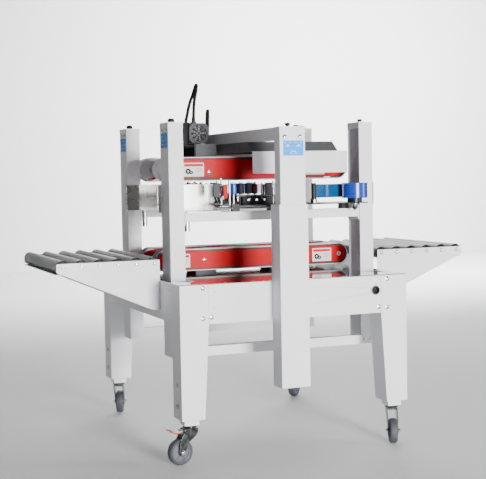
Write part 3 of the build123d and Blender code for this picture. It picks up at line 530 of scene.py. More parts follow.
def label(name, body, x, y, z, width, height, s):
    """A generic safety plate: pale field, red heading and an abstract pair of rollers."""
    plate, heading, mark, lines = Shape(), Shape(), Shape(), Shape()
    lift = 0.0004
    along = -s * X
    face = Vector((x, y + s * lift, z))
    plate.prism(rounded(-width / 2, width / 2, -height / 2, height / 2, 0.003), (x, y, z), along, Z, lift)
    heading.prism(rounded(-width * 0.46, width * 0.46, height * 0.24, height * 0.42, 0.002),
                  face, along, Z, lift / 2)
    for cx, cz, share in ((-0.27, -0.12, 0.20), (-0.12, -0.20, 0.14)):
        outer = share * height
        inner = outer * 0.35
        mark.lathe([(inner, 0), (outer, 0), (outer, lift / 2), (inner, lift / 2)],
                   face + along * cx * width + Z * cz * height, s * Y, 24)
    for k in range(2):
        top = height * (0.02 - 0.17 * k)
        lines.prism([(width * 0.10, top), (width * (0.42 - 0.06 * k), top),
                     (width * (0.42 - 0.06 * k), top + height * 0.05), (width * 0.10, top + height * 0.05)],
                    face, along, Z, lift / 2)
    plate.piece(f"{name}_plate", body, LABEL_WHITE)
    heading.piece(f"{name}_heading", body, LABEL_RED)
    mark.piece(f"{name}_mark", body, LABEL_BLACK)
    lines.piece(f"{name}_lines", body, LABEL_GRAY)


def belt_module_details(level, body):
    """Red side skins, dark rings of painted shade round them, bolts and safety plates of the belt modules."""
    low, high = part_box(f"{level}_belts")
    z, inset = (low.z + high.z) / 2, 0.0078
    half, radius = (high.x - low.x) / 2 - inset, (high.z - low.z) / 2 - inset
    skin, rim = 0.0008, 0.0048
    skins, gap_shade_rings, bolts = Shape(), Shape(), Shape()
    reach = (high.y - low.y) / 2 + 0.005
    bolt_x, bolt_z = (-0.226, z - 0.002) if level == "lower" else (-0.206, z - 0.013)
    for name, s in SIDES:
        face = at_y(s * reach)
        skins.prism(slot_outline(half - rim, radius - rim, 24), (0, face, z), -s * X, Z, skin)
        # a dark ring round each red skin, in belt rubber: painted shade of the gap between the belt and the
        # side plate
        gap_shade_rings.prism(slot_outline(half, radius, 24), (0, face, z), -s * X, Z, skin / 2)
        for x in (bolt_x, -bolt_x):
            bolts.disc((x, face + s * skin, bolt_z), s * Y, 0.0090, 0.0012)
            bolts.dome((x, face + s * (skin + 0.001), bolt_z), s * Y, 0.0074, 0.0048)
        places = (-0.332, 0.310) if level == "lower" else (-0.2725, 0.2725)
        for k, x in enumerate(places):
            label(f"{name}_{level}_label_{k + 1}", body, -s * x, face + s * skin, z - 0.0025, 0.089, 0.056, s)
    skins.piece(f"{level}_module_skins", body, RED, edge=0.0003)
    gap_shade_rings.piece(f"{level}_module_gap_shade", body, BELT)
    bolts.piece(f"{level}_module_bolts", body, CHROME)


def nose_guards():
    """Pale sheet guards round the infeed ends of the upper belts."""
    low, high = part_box("upper_belts")
    z, radius = (low.z + high.z) / 2, (high.z - low.z) / 2
    turn_x = low.x + radius
    skin, clear = 0.0012, 0.0014
    reach = (high.y - low.y) / 2
    steps = 24
    arc = [radians(90 + 140 * k / steps) for k in range(steps + 1)]
    outer = [((radius + clear + skin) * cos(a), (radius + clear + skin) * sin(a)) for a in arc]
    inner = [((radius + clear) * cos(a), (radius + clear) * sin(a)) for a in reversed(arc)]
    shell, cheeks = Shape(), Shape()
    cheek = [(0.030, radius + clear + skin)] + outer + [(0.030, -radius * 0.55)]
    for s in (-1, 1):
        y0, y1 = sorted((at_y(s * (reach - BELT_WIDTH - 0.0062)), at_y(s * (reach + 0.0062))))
        shell.prism(outer + inner, (turn_x, y0, z), X, Z, y0 - y1)
        for y in (y0, y1 - skin):
            cheeks.prism(cheek, (turn_x, y, z), X, Z, -skin)
    shell.piece("upper_nose_guards", "top_head", POWDER)
    cheeks.piece("upper_nose_cheeks", "top_head", POWDER)


# ------------------------------------------------------------------ casters and legs
def caster(corner):
    """A stamped swivel fork, its king bolt, a treaded wheel with hub caps and an axle."""
    fork, wheel = f"{corner}_caster", f"{corner}_wheel"
    axle = Vector(joints[f"{corner}_roll"]["pos_m"])
    across = Vector(joints[f"{corner}_roll"]["axis"])
    stem = Vector(joints[f"{corner}_swivel"]["pos_m"])
    ahead = Vector((axle.x - stem.x, axle.y - stem.y, 0)).normalized()
    top = stem.z - 0.0003
    trail = Vector((axle.x - stem.x, axle.y - stem.y, 0)).length
    half = 0.019
    shell = Shape()
    eye = 0.0145
    side = [(-0.025, top - 0.010), (0.030, top - 0.010), (trail + 0.010, 0.088), (trail + eye, 0.052)]
    for k in range(9):
        a = radians(-22.5 * k)
        side.append((trail + eye * cos(a), axle.z + eye * sin(a)))
    side += [(trail - 0.0165, 0.060), (trail - 0.030, 0.086), (-0.016, 0.108), (-0.025, 0.122)]
    sheet = 0.0026
    ground = Vector((stem.x, stem.y, 0))
    for s in (-1, 1):
        origin = ground + across * (half if s > 0 else -half - sheet)
        shell.prism(side, origin, ahead, Z, sheet * (1 if ahead.cross(Z).dot(across) > 0 else -1))
    edge = half + sheet
    crown = [(-0.024, -edge), (0.028, -edge), (0.028, edge), (-0.024, edge)]
    shell.prism(crown, stem - Z * (stem.z - top + 0.0125), ahead, across, 0.0035)
    shell.lathe([(0, 0), (0.0265, 0), (0.0275, 0.002), (0.0265, 0.0045), (0.0235, 0.0055), (0.0235, 0.0085),
                 (0, 0.0085)], stem - Z * (stem.z - top + 0.009), Z, 48)
    shell.piece(f"{corner}_fork_shell", fork, FORK_ZINC, edge=0.0010, replaces=(f"{corner}_fork",))
    king = Shape()
    king.rod(stem - 0.014 * Z, stem + 0.034 * Z, 0.0058, 0.0010)
    king.hexagon(stem - 0.013 * Z, -Z, 0.014, 0.007)
    king.rod(axle - across * 0.029, axle + across * 0.029, 0.0048, 0.0008)
    for s in (-1, 1):
        king.disc(axle + across * s * 0.0218, across * s, 0.0095, 0.0014)
        king.hexagon(axle + across * s * 0.0232, across * s, 0.013, 0.0062)
    king.piece(f"{corner}_fork_bolts", fork, CHROME)
    tread = Shape()
    tread.lathe([(0.0375, -0.0125), (0.0400, -0.0150), (0.0440, -0.0155), (0.0475, -0.0135),
                 (0.0494, -0.0095), (0.0500, -0.0040), (0.0500, 0.0040), (0.0494, 0.0095),
                 (0.0475, 0.0135), (0.0440, 0.0155), (0.0400, 0.0150), (0.0375, 0.0125)], axle, across, 72)
    tread.piece(f"{corner}_tread", wheel, TYRE, replaces=(f"{corner}_wheel",))
    rim = Shape()
    rim.lathe([(0.0052, -0.0175), (0.0105, -0.0175), (0.0118, -0.0160), (0.0125, -0.0085), (0.0330, -0.0060),
               (0.0345, -0.0120), (0.0376, -0.0128), (0.0376, 0.0128), (0.0345, 0.0120), (0.0330, 0.0060),
               (0.0125, 0.0085), (0.0118, 0.0160), (0.0105, 0.0175), (0.0052, 0.0175)], axle, across, 72)
    for k in range(6):
        spoke = cos(k * pi / 3) * ahead + sin(k * pi / 3) * Z
        turned = spoke.cross(across)
        rim.prism([(0.011, -0.0014), (0.034, -0.0014), (0.034, 0.0014), (0.011, 0.0014)],
                  axle - across * 0.0105 * (1 if spoke.cross(turned).dot(across) > 0 else -1),
                  spoke, turned, 0.021)
    rim.piece(f"{corner}_rim", wheel, HUB, edge=0.0006)


def brake():
    """The moulded foot pedal of the braked caster, with a ribbed tread plate."""
    pin = Vector(joints["brake_press"]["pos_m"])
    across = Vector(joints["brake_press"]["axis"])
    ahead = Vector((-across.y, across.x, 0))
    if (centre("brake_pedal") - pin).dot(ahead) < 0:
        ahead = -ahead
    arm, pad, tread = Shape(), Shape(), Shape()
    depth = -1 if ahead.cross(Z).dot(across) > 0 else 1
    lever = [(0.0, -0.003), (0.030, -0.002), (0.043, 0.000), (0.043, 0.0040), (0.030, 0.002), (0.0, 0.003)]
    plate = [(0.034, -0.0015), (0.044, 0.0000), (0.061, 0.0040), (0.0625, 0.0080), (0.044, 0.0050),
             (0.034, 0.0030)]
    start = pin + across * 0.017 * depth
    arm.prism(lever, start, ahead, Z, 0.034 * depth)
    arm.piece("brake_pedal_arm", "brake_pedal", FORK_ZINC, edge=0.0008, replaces=("brake_pedal",))
    pad.prism(plate, start, ahead, Z, 0.034 * depth)
    pad.piece("brake_pedal_pad", "brake_pedal", PEDAL, edge=0.0006)
    for k in range(5):
        place = pin + ahead * (0.0455 + 0.0035 * k) + Z * (0.0050 + 0.0008 * k)
        tread.rod(place - across * 0.0175, place + across * 0.0175, 0.0016, 0.0004, 12)
    tread.piece("brake_pedal_ribs", "brake_pedal", PEDAL)
    axle = Shape()
    axle.rod(pin - across * 0.0218, pin + across * 0.0218, 0.0038, 0.0006)
    axle.piece("brake_pedal_pin", "brake_pedal", ZINC)


def ribbed(points, radius, rib=0.0, pitch=0.004, sides=20, steps=14):
    """A smooth bent bar or corrugated hose through a row of points."""
    points = [Vector(p) for p in points]
    ends = [points[0] * 2 - points[1]] + points + [points[-1] * 2 - points[-2]]
    path = []
    for k in range(1, len(ends) - 2):
        p0, p1, p2, p3 = ends[k - 1:k + 3]
        count = max(steps, int((p2 - p1).length / (pitch / 4))) if rib else steps
        for j in range(count):
            t = j / count
            path.append(0.5 * (2 * p1 + (p2 - p0) * t + (2 * p0 - 5 * p1 + 4 * p2 - p3) * t * t
                               + (3 * p1 - p0 - 3 * p2 + p3) * t ** 3))
    path.append(points[-1])
    bent = Shape()
    rings, run = [], 0.0
    side = (path[1] - path[0]).orthogonal().normalized()
    for k, place in enumerate(path):
        ahead = (path[min(k + 1, len(path) - 1)] - path[max(k - 1, 0)]).normalized()
        side = (side - ahead * side.dot(ahead)).normalized()
        other = ahead.cross(side)
        run += (place - path[k - 1]).length if k else 0.0
        local = radius - rib * (0.5 + 0.5 * cos(2 * pi * run / pitch))
        rings.append([bent.bm.verts.new(place + local * (cos(2 * pi * j / sides) * side
                                                         + sin(2 * pi * j / sides) * other))
                      for j in range(sides)])
    for a, b in zip(rings, rings[1:]):
        for j in range(sides):
            i = (j + 1) % sides
            bent.bm.faces.new((a[j], a[i], b[i], b[j]))
    bent.bm.faces.new(rings[0][::-1])
    bent.bm.faces.new(rings[-1])
    return bent


# ------------------------------------------------------------------ column and top head
def column_details():
    """Cap seam, cap bolts, top knobs and the picture plate of the lifting column."""
    x0, x1, y0, y1, top = -0.098, 0.005, at_y(-0.638), at_y(-0.586), 1.267
    cap = Shape()
    proud = CAP_PROUD
    for low, high in (((x0 - proud, y0 - proud, 1.2395), (x1 + proud, y0, top - 0.001)),
                      ((x0 - proud, y0, 1.2395), (x0, y1, top - 0.001)),
                      ((x1, y0, 1.2395), (x1 + proud, y1, top - 0.001))):
        cap.box(low, high)
    cap.piece("column_cap", "top_head", POWDER)
    bolts = Shape()
    for x in (-0.078, -0.015):
        bolts.lathe([(0, 0), (0.0088, 0), (0.0088, 0.0012), (0.0082, 0.0016), (0, 0.0016)],
                    (x, y0, 1.2275), -Y)
        bolts.dome((x, y0 - 0.0012, 1.2275), -Y, 0.0072, 0.0052)
    bolts.piece("column_cap_bolts", "top_head", CHROME)
    plate, marks, dots = Shape(), Shape(), Shape()
    x, z, width, height = -0.043, 1.1855, 0.083, 0.057
    plate.prism(rounded(-width / 2, width / 2, -height / 2, height / 2, 0.0015), (x, y0, z), X, Z, 0.0005)
    face = y0 - 0.0005
    for side in (-1, 1):
        centre_x = x + side * width * 0.27
        marks.prism([(-0.010, -0.0012), (0.010, -0.0012), (0.010, 0.0012), (-0.010, 0.0012)],
                    (centre_x, face, z + height * 0.13), X, Z, 0.0002)
        marks.prism([(-0.005, 0.0030), (0.005, 0.0030), (0.0, 0.0085)],
                    (centre_x, face, z + height * 0.13), X, Z, 0.0002)
        for dot_x in (centre_x - 0.010, centre_x + 0.010):
            dots.disc((dot_x, face, z + height * 0.36), -Y, 0.0026, 0.0002, 20)
    steps = 14
    outer = [(0.0125 * cos(pi * k / steps), 0.0125 * sin(pi * k / steps)) for k in range(steps + 1)]
    inner = [(0.0098 * cos(pi * k / steps), 0.0098 * sin(pi * k / steps)) for k in range(steps, -1, -1)]
    marks.prism(outer + inner, (x, face, z - height * 0.38), X, Z, 0.0002)
    plate.piece("column_plate", "top_head", LABEL_BLUE)
    marks.piece("column_plate_marks", "top_head", LABEL_WHITE)
    dots.piece("column_plate_dots", "top_head", LABEL_TAN)
    small = Shape()
    for knob_x, knob_y in ((-0.010, -0.604), (-0.030, -0.626)):
        small.lathe([(0, -0.001), (0.0050, -0.001), (0.0050, 0.003), (0.0040, 0.0060), (0, 0.0066)],
                    (knob_x, at_y(knob_y), top), Z, 24)
    small.piece("column_top_buttons", "top_head", PLASTIC)
    knob = Shape()
    place = Vector(joints["knob_turn"]["pos_m"])
    knob.lathe([(0, 0), (0.0060, 0), (0.0060, 0.003), (0.0092, 0.0045), (0.0096, 0.0110), (0.0082, 0.0138),
                (0, 0.0143)], place, Z, 36)
    for k in range(10):
        a = 2 * pi * k / 10
        foot = place + Vector((0.0092 * cos(a), 0.0092 * sin(a), 0.0046))
        knob.rod(foot, foot + 0.0064 * Z, 0.0010, 0.0003, 8)
    knob.piece("height_knob_grip", "height_knob", PLASTIC, replaces=("height_knob",))


def head_motor():
    """Fan guard, fan, housing ribs and gland nuts of the top gear motor."""
    cx, cz, half = -0.162, 1.270, 0.044
    front = at_y(0.100)
    guard, fan, hub, ribs, nuts = Shape(), Shape(), Shape(), Shape(), Shape()
    steps = 48
    square = []
    for k in range(steps):
        a = 2 * pi * k / steps
        blend = max(abs(cos(a)), abs(sin(a)))
        reach = min(half / blend, half * 1.16)
        square.append((reach * cos(a), reach * sin(a)))
    bore = 0.0345
    rings = []
    eased = [(0.985 * x, 0.985 * z) for x, z in square]
    hole = [(bore * cos(2 * pi * k / steps), bore * sin(2 * pi * k / steps)) for k in range(steps)]
    for depth, line in ((0.0, square), (-0.009, square), (-0.0105, eased), (-0.0105, hole), (0.0, hole)):
        rings.append([guard.bm.verts.new((cx + x, front + depth, cz + z)) for x, z in line])
    for a, b in zip(rings, rings[1:] + rings[:1]):
        for k in range(steps):
            j = (k + 1) % steps
            guard.bm.faces.new((a[k], a[j], b[j], b[k]))
    for inner, outer in ((0.0, 0.0055), (0.0125, 0.0165), (0.0235, 0.0280)):
        place = (cx, front - 0.0085, cz)
        profile = [(inner, 0), (outer, 0), (outer, 0.0018), (inner, 0.0018)]
        guard.lathe(profile, place, -Y, 48)
    for k in range(4):
        a = radians(45 + 90 * k)
        along = Vector((cos(a), 0, sin(a)))
        turned = Vector((-sin(a), 0, cos(a)))
        guard.prism([(0.004, -0.0030), (0.0355, -0.0030), (0.0355, 0.0030), (0.004, 0.0030)],
                    (cx, front - 0.0085, cz), along, turned, -0.0018 if along.cross(turned).y > 0 else 0.0018)
    guard.piece("motor_fan_guard", "top_head", FAN_GRAY)
    for k in range(9):
        a = 2 * pi * k / 9
        along = Vector((cos(a), 0, sin(a)))
        turned = Vector((-sin(a), 0, cos(a)))
        blade = [(0.008, -0.002), (0.032, -0.004), (0.033, 0.006), (0.008, 0.004)]
        fan.prism(blade, (cx, front - 0.0045, cz), along, (turned + 0.55 * Y).normalized(), 0.0010)
    fan.piece("motor_fan", "top_head", FAN_PALE)
    hub.lathe([(0, 0), (0.0095, 0), (0.0095, 0.004), (0.0080, 0.0055), (0, 0.0058)],
              (cx, front - 0.001, cz), -Y)
    hub.piece("motor_fan_hub", "top_head", FAN_PALE)
    for k in range(9):
        y = front + 0.016 + 0.0125 * k
        line = [(x * 1.012, z * 1.012) for x, z in square]
        ribs.prism([(x, z) for x, z in line], (cx, y, cz), X, Z, -0.0035)
    ribs.piece("motor_housing_ribs", "top_head", CAST)
    for x, y, z, size in ((-0.165, 0.150, 1.316, 0.021), (-0.195, 0.165, 1.316, 0.017)):
        nuts.hexagon((x, at_y(y), z), Z, size, 0.007)
        nuts.lathe([(0, 0.006), (size * 0.44, 0.006), (size * 0.40, 0.013), (size * 0.34, 0.016), (0, 0.016)],
                   (x, at_y(y), z), Z, 28)
    nuts.piece("motor_gland_nuts", "top_head", CHROME)
    gusset = Shape()
    gusset.prism([(0.0, 0.0), (0.052, 0.0), (0.052, 0.006), (0.010, 0.046), (0.0, 0.046)],
                 (-0.152, at_y(0.094), 1.182), X, Z, 0.002)
    gusset.piece("motor_gusset", "top_head", POWDER, edge=0.0006)


def leads():
    """Corrugated leads of the gear motor, the beam and the hood."""
    motor = [(-0.165, 0.150, 1.330), (-0.161, 0.150, 1.400), (-0.149, 0.151, 1.464), (-0.146, 0.156, 1.478),
             (-0.1455, 0.163, 1.4815), (-0.147, 0.170, 1.476), (-0.154, 0.174, 1.452), (-0.176, 0.172, 1.395),
             (-0.195, 0.165, 1.324)]
    beam = [(-0.050, 0.294, 1.270), (-0.048, 0.294, 1.325), (-0.046, 0.296, 1.368), (-0.044, 0.303, 1.379),
            (-0.044, 0.310, 1.368), (-0.046, 0.312, 1.325), (-0.050, 0.312, 1.270)]
    hood = [(-0.206, 0.140, 1.212), (-0.178, 0.140, 1.205), (-0.158, 0.140, 1.189), (-0.118, 0.141, 1.185),
            (-0.080, 0.142, 1.188)]
    routes = (("motor_lead", motor, 0.0072, ("conduits",)), ("beam_lead", beam, 0.0078, ()),
              ("hood_lead", hood, 0.0040, ()))
    for name, line, radius, replaced in routes:
        hose = ribbed([(x, at_y(y), z) for x, y, z in line], radius, rib=0.0007)
        hose.piece(name, "top_head", CABLE, replaces=replaced, angle=80)


# ------------------------------------------------------------------ masts and tape heads
def mast_details(name, s):
    """Caps, seams, bolts, end knobs and small picture plates of one side's masts."""
    body = f"{name}_frame"
    inner, outer = at_y(s * MAST_INNER), at_y(s * MAST_OUTER)
    y0, y1 = min(inner, outer), max(inner, outer)
    caps, bolts = Shape(), Shape()
    proud, cap_low, cap_high = CAP_PROUD, 1.2725, 1.2965
    for x0, x1 in ((-MAST_X1, -MAST_X0), (MAST_X0, MAST_X1)):
        caps.box((x0 - proud, y0 - proud, cap_low), (x1 + proud, y0, cap_high))
        caps.box((x0 - proud, y1, cap_low), (x1 + proud, y1 + proud, cap_high))
        caps.box((x0 - proud, y0, cap_low), (x0, y1, cap_high))
        caps.box((x1, y0, cap_low), (x1 + proud, y1, cap_high))
        seam = sorted((outer, outer + s * proud))
        caps.box((x0 - proud, seam[0], 0.9795), (x1 + proud, seam[1], 0.9805))
    caps.piece(f"{name}_mast_caps", body, POWDER)
    for x, side in ((-MAST_X1, -1), (MAST_X1, 1)):
        for y in (0.268, 0.322):
            bolts.dome((x + side * proud, at_y(s * y), 1.2665), side * X, 0.0068, 0.0046)
    for x in (-0.428, -0.398, 0.398, 0.428):
        bolts.disc((x, outer, 0.396), s * Y, 0.0085, 0.0012)
        bolts.dome((x, outer + s * 0.001, 0.396), s * Y, 0.0066, 0.0042)
    bolts.piece(f"{name}_mast_bolts", body, CHROME)
    plate, marks = Shape(), Shape()
    x, z, width, height = -MAST_X1, 1.227, 0.086, 0.058
    plate.prism(rounded(-width / 2, width / 2, -height / 2, height / 2, 0.0015),
                (x, at_y(s * MAST_MIDDLE), z), -Y, Z, 0.0005)
    for k, (rise, long) in enumerate(((0.016, 0.018), (0.0, 0.030), (-0.015, 0.024))):
        for side in (-1, 1):
            marks.prism([(side * 0.022 - long / 3, -0.0016), (side * 0.022 + long / 3, -0.0016),
                         (side * 0.022 + long / 3, 0.0016), (side * 0.022 - long / 3, 0.0016)],
                        (x - 0.0005, at_y(s * MAST_MIDDLE), z + rise), -Y, Z, 0.0002)
    plate.piece(f"{name}_mast_plate", body, LABEL_BLUE)
    marks.piece(f"{name}_mast_plate_marks", body, LABEL_TAN)
    knob = Shape()
    knob.lathe([(0, 0), (0.0075, 0), (0.0075, 0.004), (0.0098, 0.0055), (0.0100, 0.0115), (0.0085, 0.0145),
                (0, 0.0150)], (0.412, at_y(s * MAST_MIDDLE), 1.297), Z, 32)
    knob.piece(f"{name}_mast_knob", body, PLASTIC)
    if s < 0:
        grip = [(0.443, 0.328, 0.952), (0.4505, 0.328, 0.956), (0.4525, 0.328, 0.970), (0.4525, 0.328, 1.003),
                (0.4525, 0.328, 1.035), (0.4505, 0.328, 1.049), (0.443, 0.328, 1.053)]
        handle = ribbed([(px, at_y(s * py), pz) for px, py, pz in grip], 0.0034, steps=8)
        handle.piece(f"{name}_mast_handle", body, PLASTIC)
    screw = Shape()
    x, y, _ = joints[f"{name}_screw_turn"]["pos_m"]
    screw.lathe([(0, 0), (0.0100, 0), (0.0100, 0.003), (0.0132, 0.0045), (0.0132, 0.0075), (0.0115, 0.0112),
                 (0.0070, 0.0135), (0, 0.0140)], (x, y, 1.300), Z, 36)
    for k in range(3):
        a = 2 * pi * k / 3
        foot = Vector((x + 0.0128 * cos(a), y + 0.0128 * sin(a), 1.3045))
        screw.rod(foot, foot + 0.0035 * Z, 0.0012, 0.0003, 10)
    screw.piece(f"{name}_screw_knob", f"{name}_screw", PLASTIC)


def roller(shape, x, y, z0, z1, radius):
    """A vertical guide roller with stepped ends."""
    shape.lathe([(0.004, z0), (radius * 0.82, z0), (radius * 0.86, z0 + 0.0015), (radius, z0 + 0.003),
                 (radius, z1 - 0.003), (radius * 0.86, z1 - 0.0015), (radius * 0.82, z1), (0.004, z1)],
                (x, y, 0), Z, 40)


def tangent(a, radius_a, b, radius_b, s):
    """Ends of the line that touches two circles on the inner side of the machine."""
    run = Vector(b) - Vector(a)
    lean = asin((radius_b - radius_a) / run.length)
    heading = run.normalized()
    normal = Vector((-heading.y, heading.x)) * (1 if -s * heading.x > 0 else -1)
    normal = normal * cos(lean) - heading * sin(lean)
    return Vector(a) + normal * radius_a, Vector(b) + normal * radius_b


def tape_head(name, s):
    """Guide rollers, posts, springs, rods, film and fasteners of one side tape head."""
    body = f"{name}_carriage"

    def y_of(distance):
        return at_y(s * distance)

    blue, navy, rust, chrome, black, red = (Shape() for _ in range(6))
    roller(blue, -0.167, y_of(0.325), 1.012, 1.054, 0.0125)
    roller(navy, -0.1365, y_of(0.325), 1.012, 1.056, 0.0150)
    roller(navy, -0.1045, y_of(0.327), 1.012, 1.056, 0.0150)
    roller(rust, -0.0760, y_of(0.325), 1.012, 1.052, 0.0125)
    posts = ((-0.167, 0.325, 0.970, 1.060, 0.0042), (-0.1365, 0.325, 1.004, 1.060, 0.0042),
             (-0.1045, 0.327, 1.004, 1.060, 0.0042), (-0.076, 0.325, 1.004, 1.060, 0.0042),
             (-0.210, 0.300, 0.960, 1.078, 0.0036), (-0.186, 0.330, 0.940, 1.066, 0.0048),
             (0.002, 0.330, 0.944, 1.062, 0.0040), (-0.048, 0.330, 1.004, 1.056, 0.0034))
    for x, y, z0, z1, radius in posts:
        chrome.rod((x, y_of(y), z0), (x, y_of(y), z1), radius, 0.0006)
    nuts = ((-0.210, 0.300, 1.070, 0.012, 0.007), (-0.167, 0.325, 1.0545, 0.011, 0.005),
            (-0.1365, 0.325, 1.0565, 0.011, 0.005), (-0.1045, 0.327, 1.0565, 0.011, 0.005),
            (-0.076, 0.325, 1.0525, 0.011, 0.005), (-0.210, 0.300, 0.990, 0.013, 0.007),
            (-0.210, 0.300, 0.970, 0.014, 0.008))
    for x, y, z, across, height in nuts:
        chrome.hexagon((x, y_of(y), z), Z, across, height)
    chrome.rod((-0.160, y_of(0.345), 1.0045), (0.000, y_of(0.345), 1.0045), 0.0035, 0.0006)
    chrome.rod((-0.250, y_of(0.3435), 0.9575), (0.100, y_of(0.3435), 0.9575), 0.0042, 0.0006)
    chrome.rod((-0.235, y_of(0.288), 0.9760), (-0.020, y_of(0.288), 0.9760), 0.0042, 0.0006)
    for x in (-0.150, -0.100, -0.050, 0.000, 0.050):
        chrome.dome((x, y_of(0.334), 0.995), s * Y, 0.0034, 0.0022)
    chrome.hexagon((0.330, y_of(0.405), 1.0405), Z, 0.017, 0.008)
    chrome.lathe([(0.006, 0), (0.0135, 0), (0.0135, 0.014), (0.0115, 0.016), (0.006, 0.016)],
                 (0.149, y_of(0.400), 0.971), Z, 32)
    chrome.lathe([(0.004, 0), (0.0125, 0), (0.0125, -0.010), (0.0105, -0.014), (0.004, -0.014)],
                 (0.330, y_of(0.405), 0.966), Z, 32)
    black.box((-0.252, y_of(0.322), 1.002), (-0.228, y_of(0.334), 1.058))
    black.box((-0.252, y_of(0.300), 0.971), (-0.228, y_of(0.334), 0.977))
    black.lathe([(0, 0), (0.0060, 0), (0.0060, -0.012), (0.0050, -0.014), (0, -0.014)],
                (0.330, y_of(0.405), 0.952), Z, 24)
    black.box((-0.030, y_of(0.318), 0.972), (-0.004, y_of(0.334), 1.056))
    black.box((-0.0415, y_of(0.320), 1.004), (-0.036, y_of(0.332), 1.050))
    red.box((-0.2105, y_of(0.326), 0.996), (-0.1925, y_of(0.329), 1.052))
    red.box((-0.2105, y_of(0.290), 0.996), (-0.1925, y_of(0.329), 0.999))
    spring = [(-0.210 + 0.0062 * cos(2 * pi * k / 10), y_of(0.300) + 0.0062 * sin(2 * pi * k / 10),
               0.999 + 0.0046 * k / 10) for k in range(121)]
    coil = ribbed(spring, 0.0011, sides=8, steps=1)
    blue.piece(f"{name}_film_roller", body, TAPE)
    navy.piece(f"{name}_rubber_rollers", body, NAVY)
    rust.piece(f"{name}_brown_roller", body, RUST)
    chrome.piece(f"{name}_head_rods", body, ROD_STEEL)
    black.piece(f"{name}_head_blocks", body, BLACK, edge=0.0008)
    red.piece(f"{name}_head_bracket", body, RED, edge=0.0006)
    coil.piece(f"{name}_head_spring", body, CHROME)
    post = Shape()
    post.lathe([(0.0052, 0.987), (0.0112, 0.987), (0.0112, 0.9895), (0.0097, 0.9905), (0.0097, 1.0470),
                (0.0112, 1.0480), (0.0112, 1.0505), (0.0052, 1.0505)], (0.149, y_of(0.400), 0), Z, 40)
    post.piece(f"{name}_guide_post_sleeve", body, PLASTIC)
    start, end = tangent((0.149, y_of(0.400)), 0.0100, (0.330, y_of(0.405)), 0.0522, s)
    film = Shape()
    run = Vector((end.x - start.x, end.y - start.y, 0))
    thick = Z.cross(run).normalized() * 0.0005
    low, high = 0.990, 1.0455
    corners = [Vector((p.x, p.y, 0)) for p in (start, end)]
    steps = 12
    rows = []
    for k in range(steps + 1):
        base = corners[0].lerp(corners[1], k / steps)
        sag = 0.0004 * sin(pi * k / steps)
        lower, upper = Z * (low + sag), Z * (high - sag)
        rows.append([film.bm.verts.new(w) for w in (base + lower, base + upper, base + thick + upper,
                                                    base + thick + lower)])
    for a, b in zip(rows, rows[1:]):
        for j in range(4):
            i = (j + 1) % 4
            film.bm.faces.new((a[j], a[i], b[i], b[j]))
    film.bm.faces.new(rows[0][::-1])
    film.bm.faces.new(rows[-1])
    film.piece(f"{name}_tape_film", body, WEB)
    wound, core = Shape(), Shape()
    low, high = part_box(f"{name}_tape_roll")
    middle = ((low.x + high.x) / 2, (low.y + high.y) / 2, low.z)
    tall = high.z - low.z
    radius = (high.x - low.x) / 2
    wound.lathe([(0.0405, 0.0), (radius - 0.0006, 0.0), (radius, 0.0006), (radius, tall - 0.0006),
                 (radius - 0.0006, tall), (0.0405, tall)], middle, Z, 96)
    core.lathe([(0.0383, 0.0003), (0.0405, 0.0003), (0.0405, tall - 0.0003), (0.0383, tall - 0.0003)],
               middle, Z, 96)
    wound.piece(f"{name}_wound_tape", f"{name}_roll", TAPE, replaces=(f"{name}_tape_roll",))
    core.piece(f"{name}_tape_core", f"{name}_roll", CARD)


def arm_details(name, s):
    """Rubber sleeves, pins and clips on the two swing arms of a tape head."""
    for end in ("front", "rear"):
        body = f"{name}_{end}_arm"
        low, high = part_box(body)
        pivot = joints[f"{body}_swing"]["pos_m"]
        tip_x = low.x + 0.018 if end == "front" else high.x - 0.018
        tip_y = low.y + 0.018 if s > 0 else high.y - 0.018
        sleeve, pins = Shape(), Shape()
        sleeve.lathe([(0.0060, 1.0165), (0.0176, 1.0165), (0.0182, 1.0180), (0.0182, 1.0440),
                      (0.0176, 1.0455), (0.0060, 1.0455)], (tip_x, tip_y, 0), Z, 56)
        sleeve.piece(f"{body}_sleeve", body, NAVY)
        for x, y in ((tip_x, tip_y), (pivot[0], pivot[1])):
            pins.hexagon((x, y, 1.0500), Z, 0.0125, 0.0050)
            pins.lathe([(0, 1.0118), (0.0078, 1.0118), (0.0078, 1.0106), (0, 1.0106)], (x, y, 0), Z, 28)
        pins.piece(f"{body}_pins", body, ZINC)


fastener_heads()
end_screws()
power_socket()
conveyor_details()
for level_name, level_body in (("lower", "base"), ("upper", "top_head")):
    belt_layers(level_name, level_body)
    belt_module_details(level_name, level_body)
for corner_name in ("front_left", "front_right", "back_left", "back_right"):
    caster(corner_name)
brake()
nose_guards()
column_details()
head_motor()
leads()
for side_name, side_sign in SIDES:
    mast_details(side_name, side_sign)
    tape_head(side_name, side_sign)
    arm_details(side_name, side_sign)


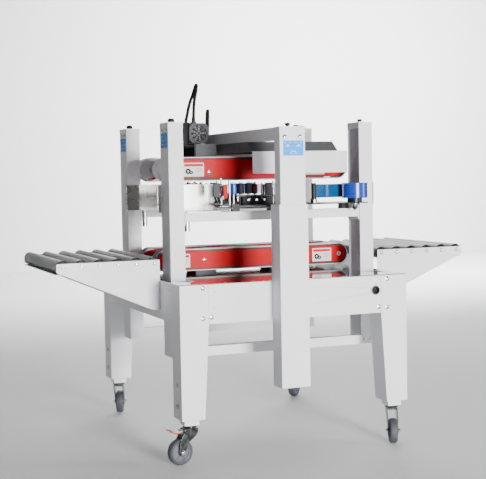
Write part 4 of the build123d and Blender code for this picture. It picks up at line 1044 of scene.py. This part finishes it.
# ------------------------------------------------------------------ room, light and camera
STUDIO_PLANES = (("studio_floor", (0, 0, 0), 0), ("studio_wall", (3, 9, 0), radians(90)))
for plane_name, plane_place, plane_lean in STUDIO_PLANES:
    bpy.ops.mesh.primitive_plane_add(size=30, location=plane_place, rotation=(plane_lean, 0, 0))
    plane = bpy.context.object
    plane.name = plane_name
    plane.data.materials.append(FLOOR)

scene = bpy.context.scene
world = bpy.data.worlds.new("studio")
scene.world = world
world.use_nodes = True
tree = world.node_tree
background = tree.nodes["Background"]
background.inputs["Color"].default_value = (1, 1, 1, 1)
background.inputs["Strength"].default_value = 0.07


def area_light(name, place, target, size, power):
    """A soft rectangular light aimed at a point."""
    data = bpy.data.lights.new(name, "AREA")
    data.shape = "RECTANGLE"
    data.size, data.size_y = size
    data.energy = power
    lamp = bpy.data.objects.new(name, data)
    scene.collection.objects.link(lamp)
    lamp.location = place
    lamp.rotation_mode = "QUATERNION"
    lamp.rotation_quaternion = (Vector(target) - Vector(place)).to_track_quat("-Z", "Y")
    return lamp


area_light("key", (0.40, -7.2, 1.0), (0, 0, 0.8), (1.5, 1.6), 900)
area_light("right_fill", (6.0, -3.4, 1.6), (0, 0, 0.8), (1.8, 1.8), 160)
area_light("wall_wash", (4.6, 5.2, 3.4), (4.2, 9.0, 0.9), (5.0, 1.2), 900)
area_light("floor_wash", (2.2, 5.0, 3.4), (1.6, 3.2, 0.0), (4.0, 1.6), 170)

CAMERA_PLACE = Vector((-1.8182, -4.6365 + MID_Y, 1.0884))
YAW, PITCH, ROLL = radians(21.383), radians(3.191), radians(-1.037)
forward = Vector((sin(YAW) * cos(PITCH), cos(YAW) * cos(PITCH), -sin(PITCH)))
level = Vector((cos(YAW), -sin(YAW), 0))
upward = level.cross(forward)
right_axis = cos(ROLL) * level + sin(ROLL) * upward
up_axis = -sin(ROLL) * level + cos(ROLL) * upward
camera_data = bpy.data.cameras.new("camera")
camera_data.sensor_width = 36
camera_data.lens = 85.93
camera = bpy.data.objects.new("camera", camera_data)
scene.collection.objects.link(camera)
camera.matrix_world = Matrix.Translation(CAMERA_PLACE) @ Matrix(
    (right_axis, up_axis, -forward)).transposed().to_4x4()
scene.camera = camera
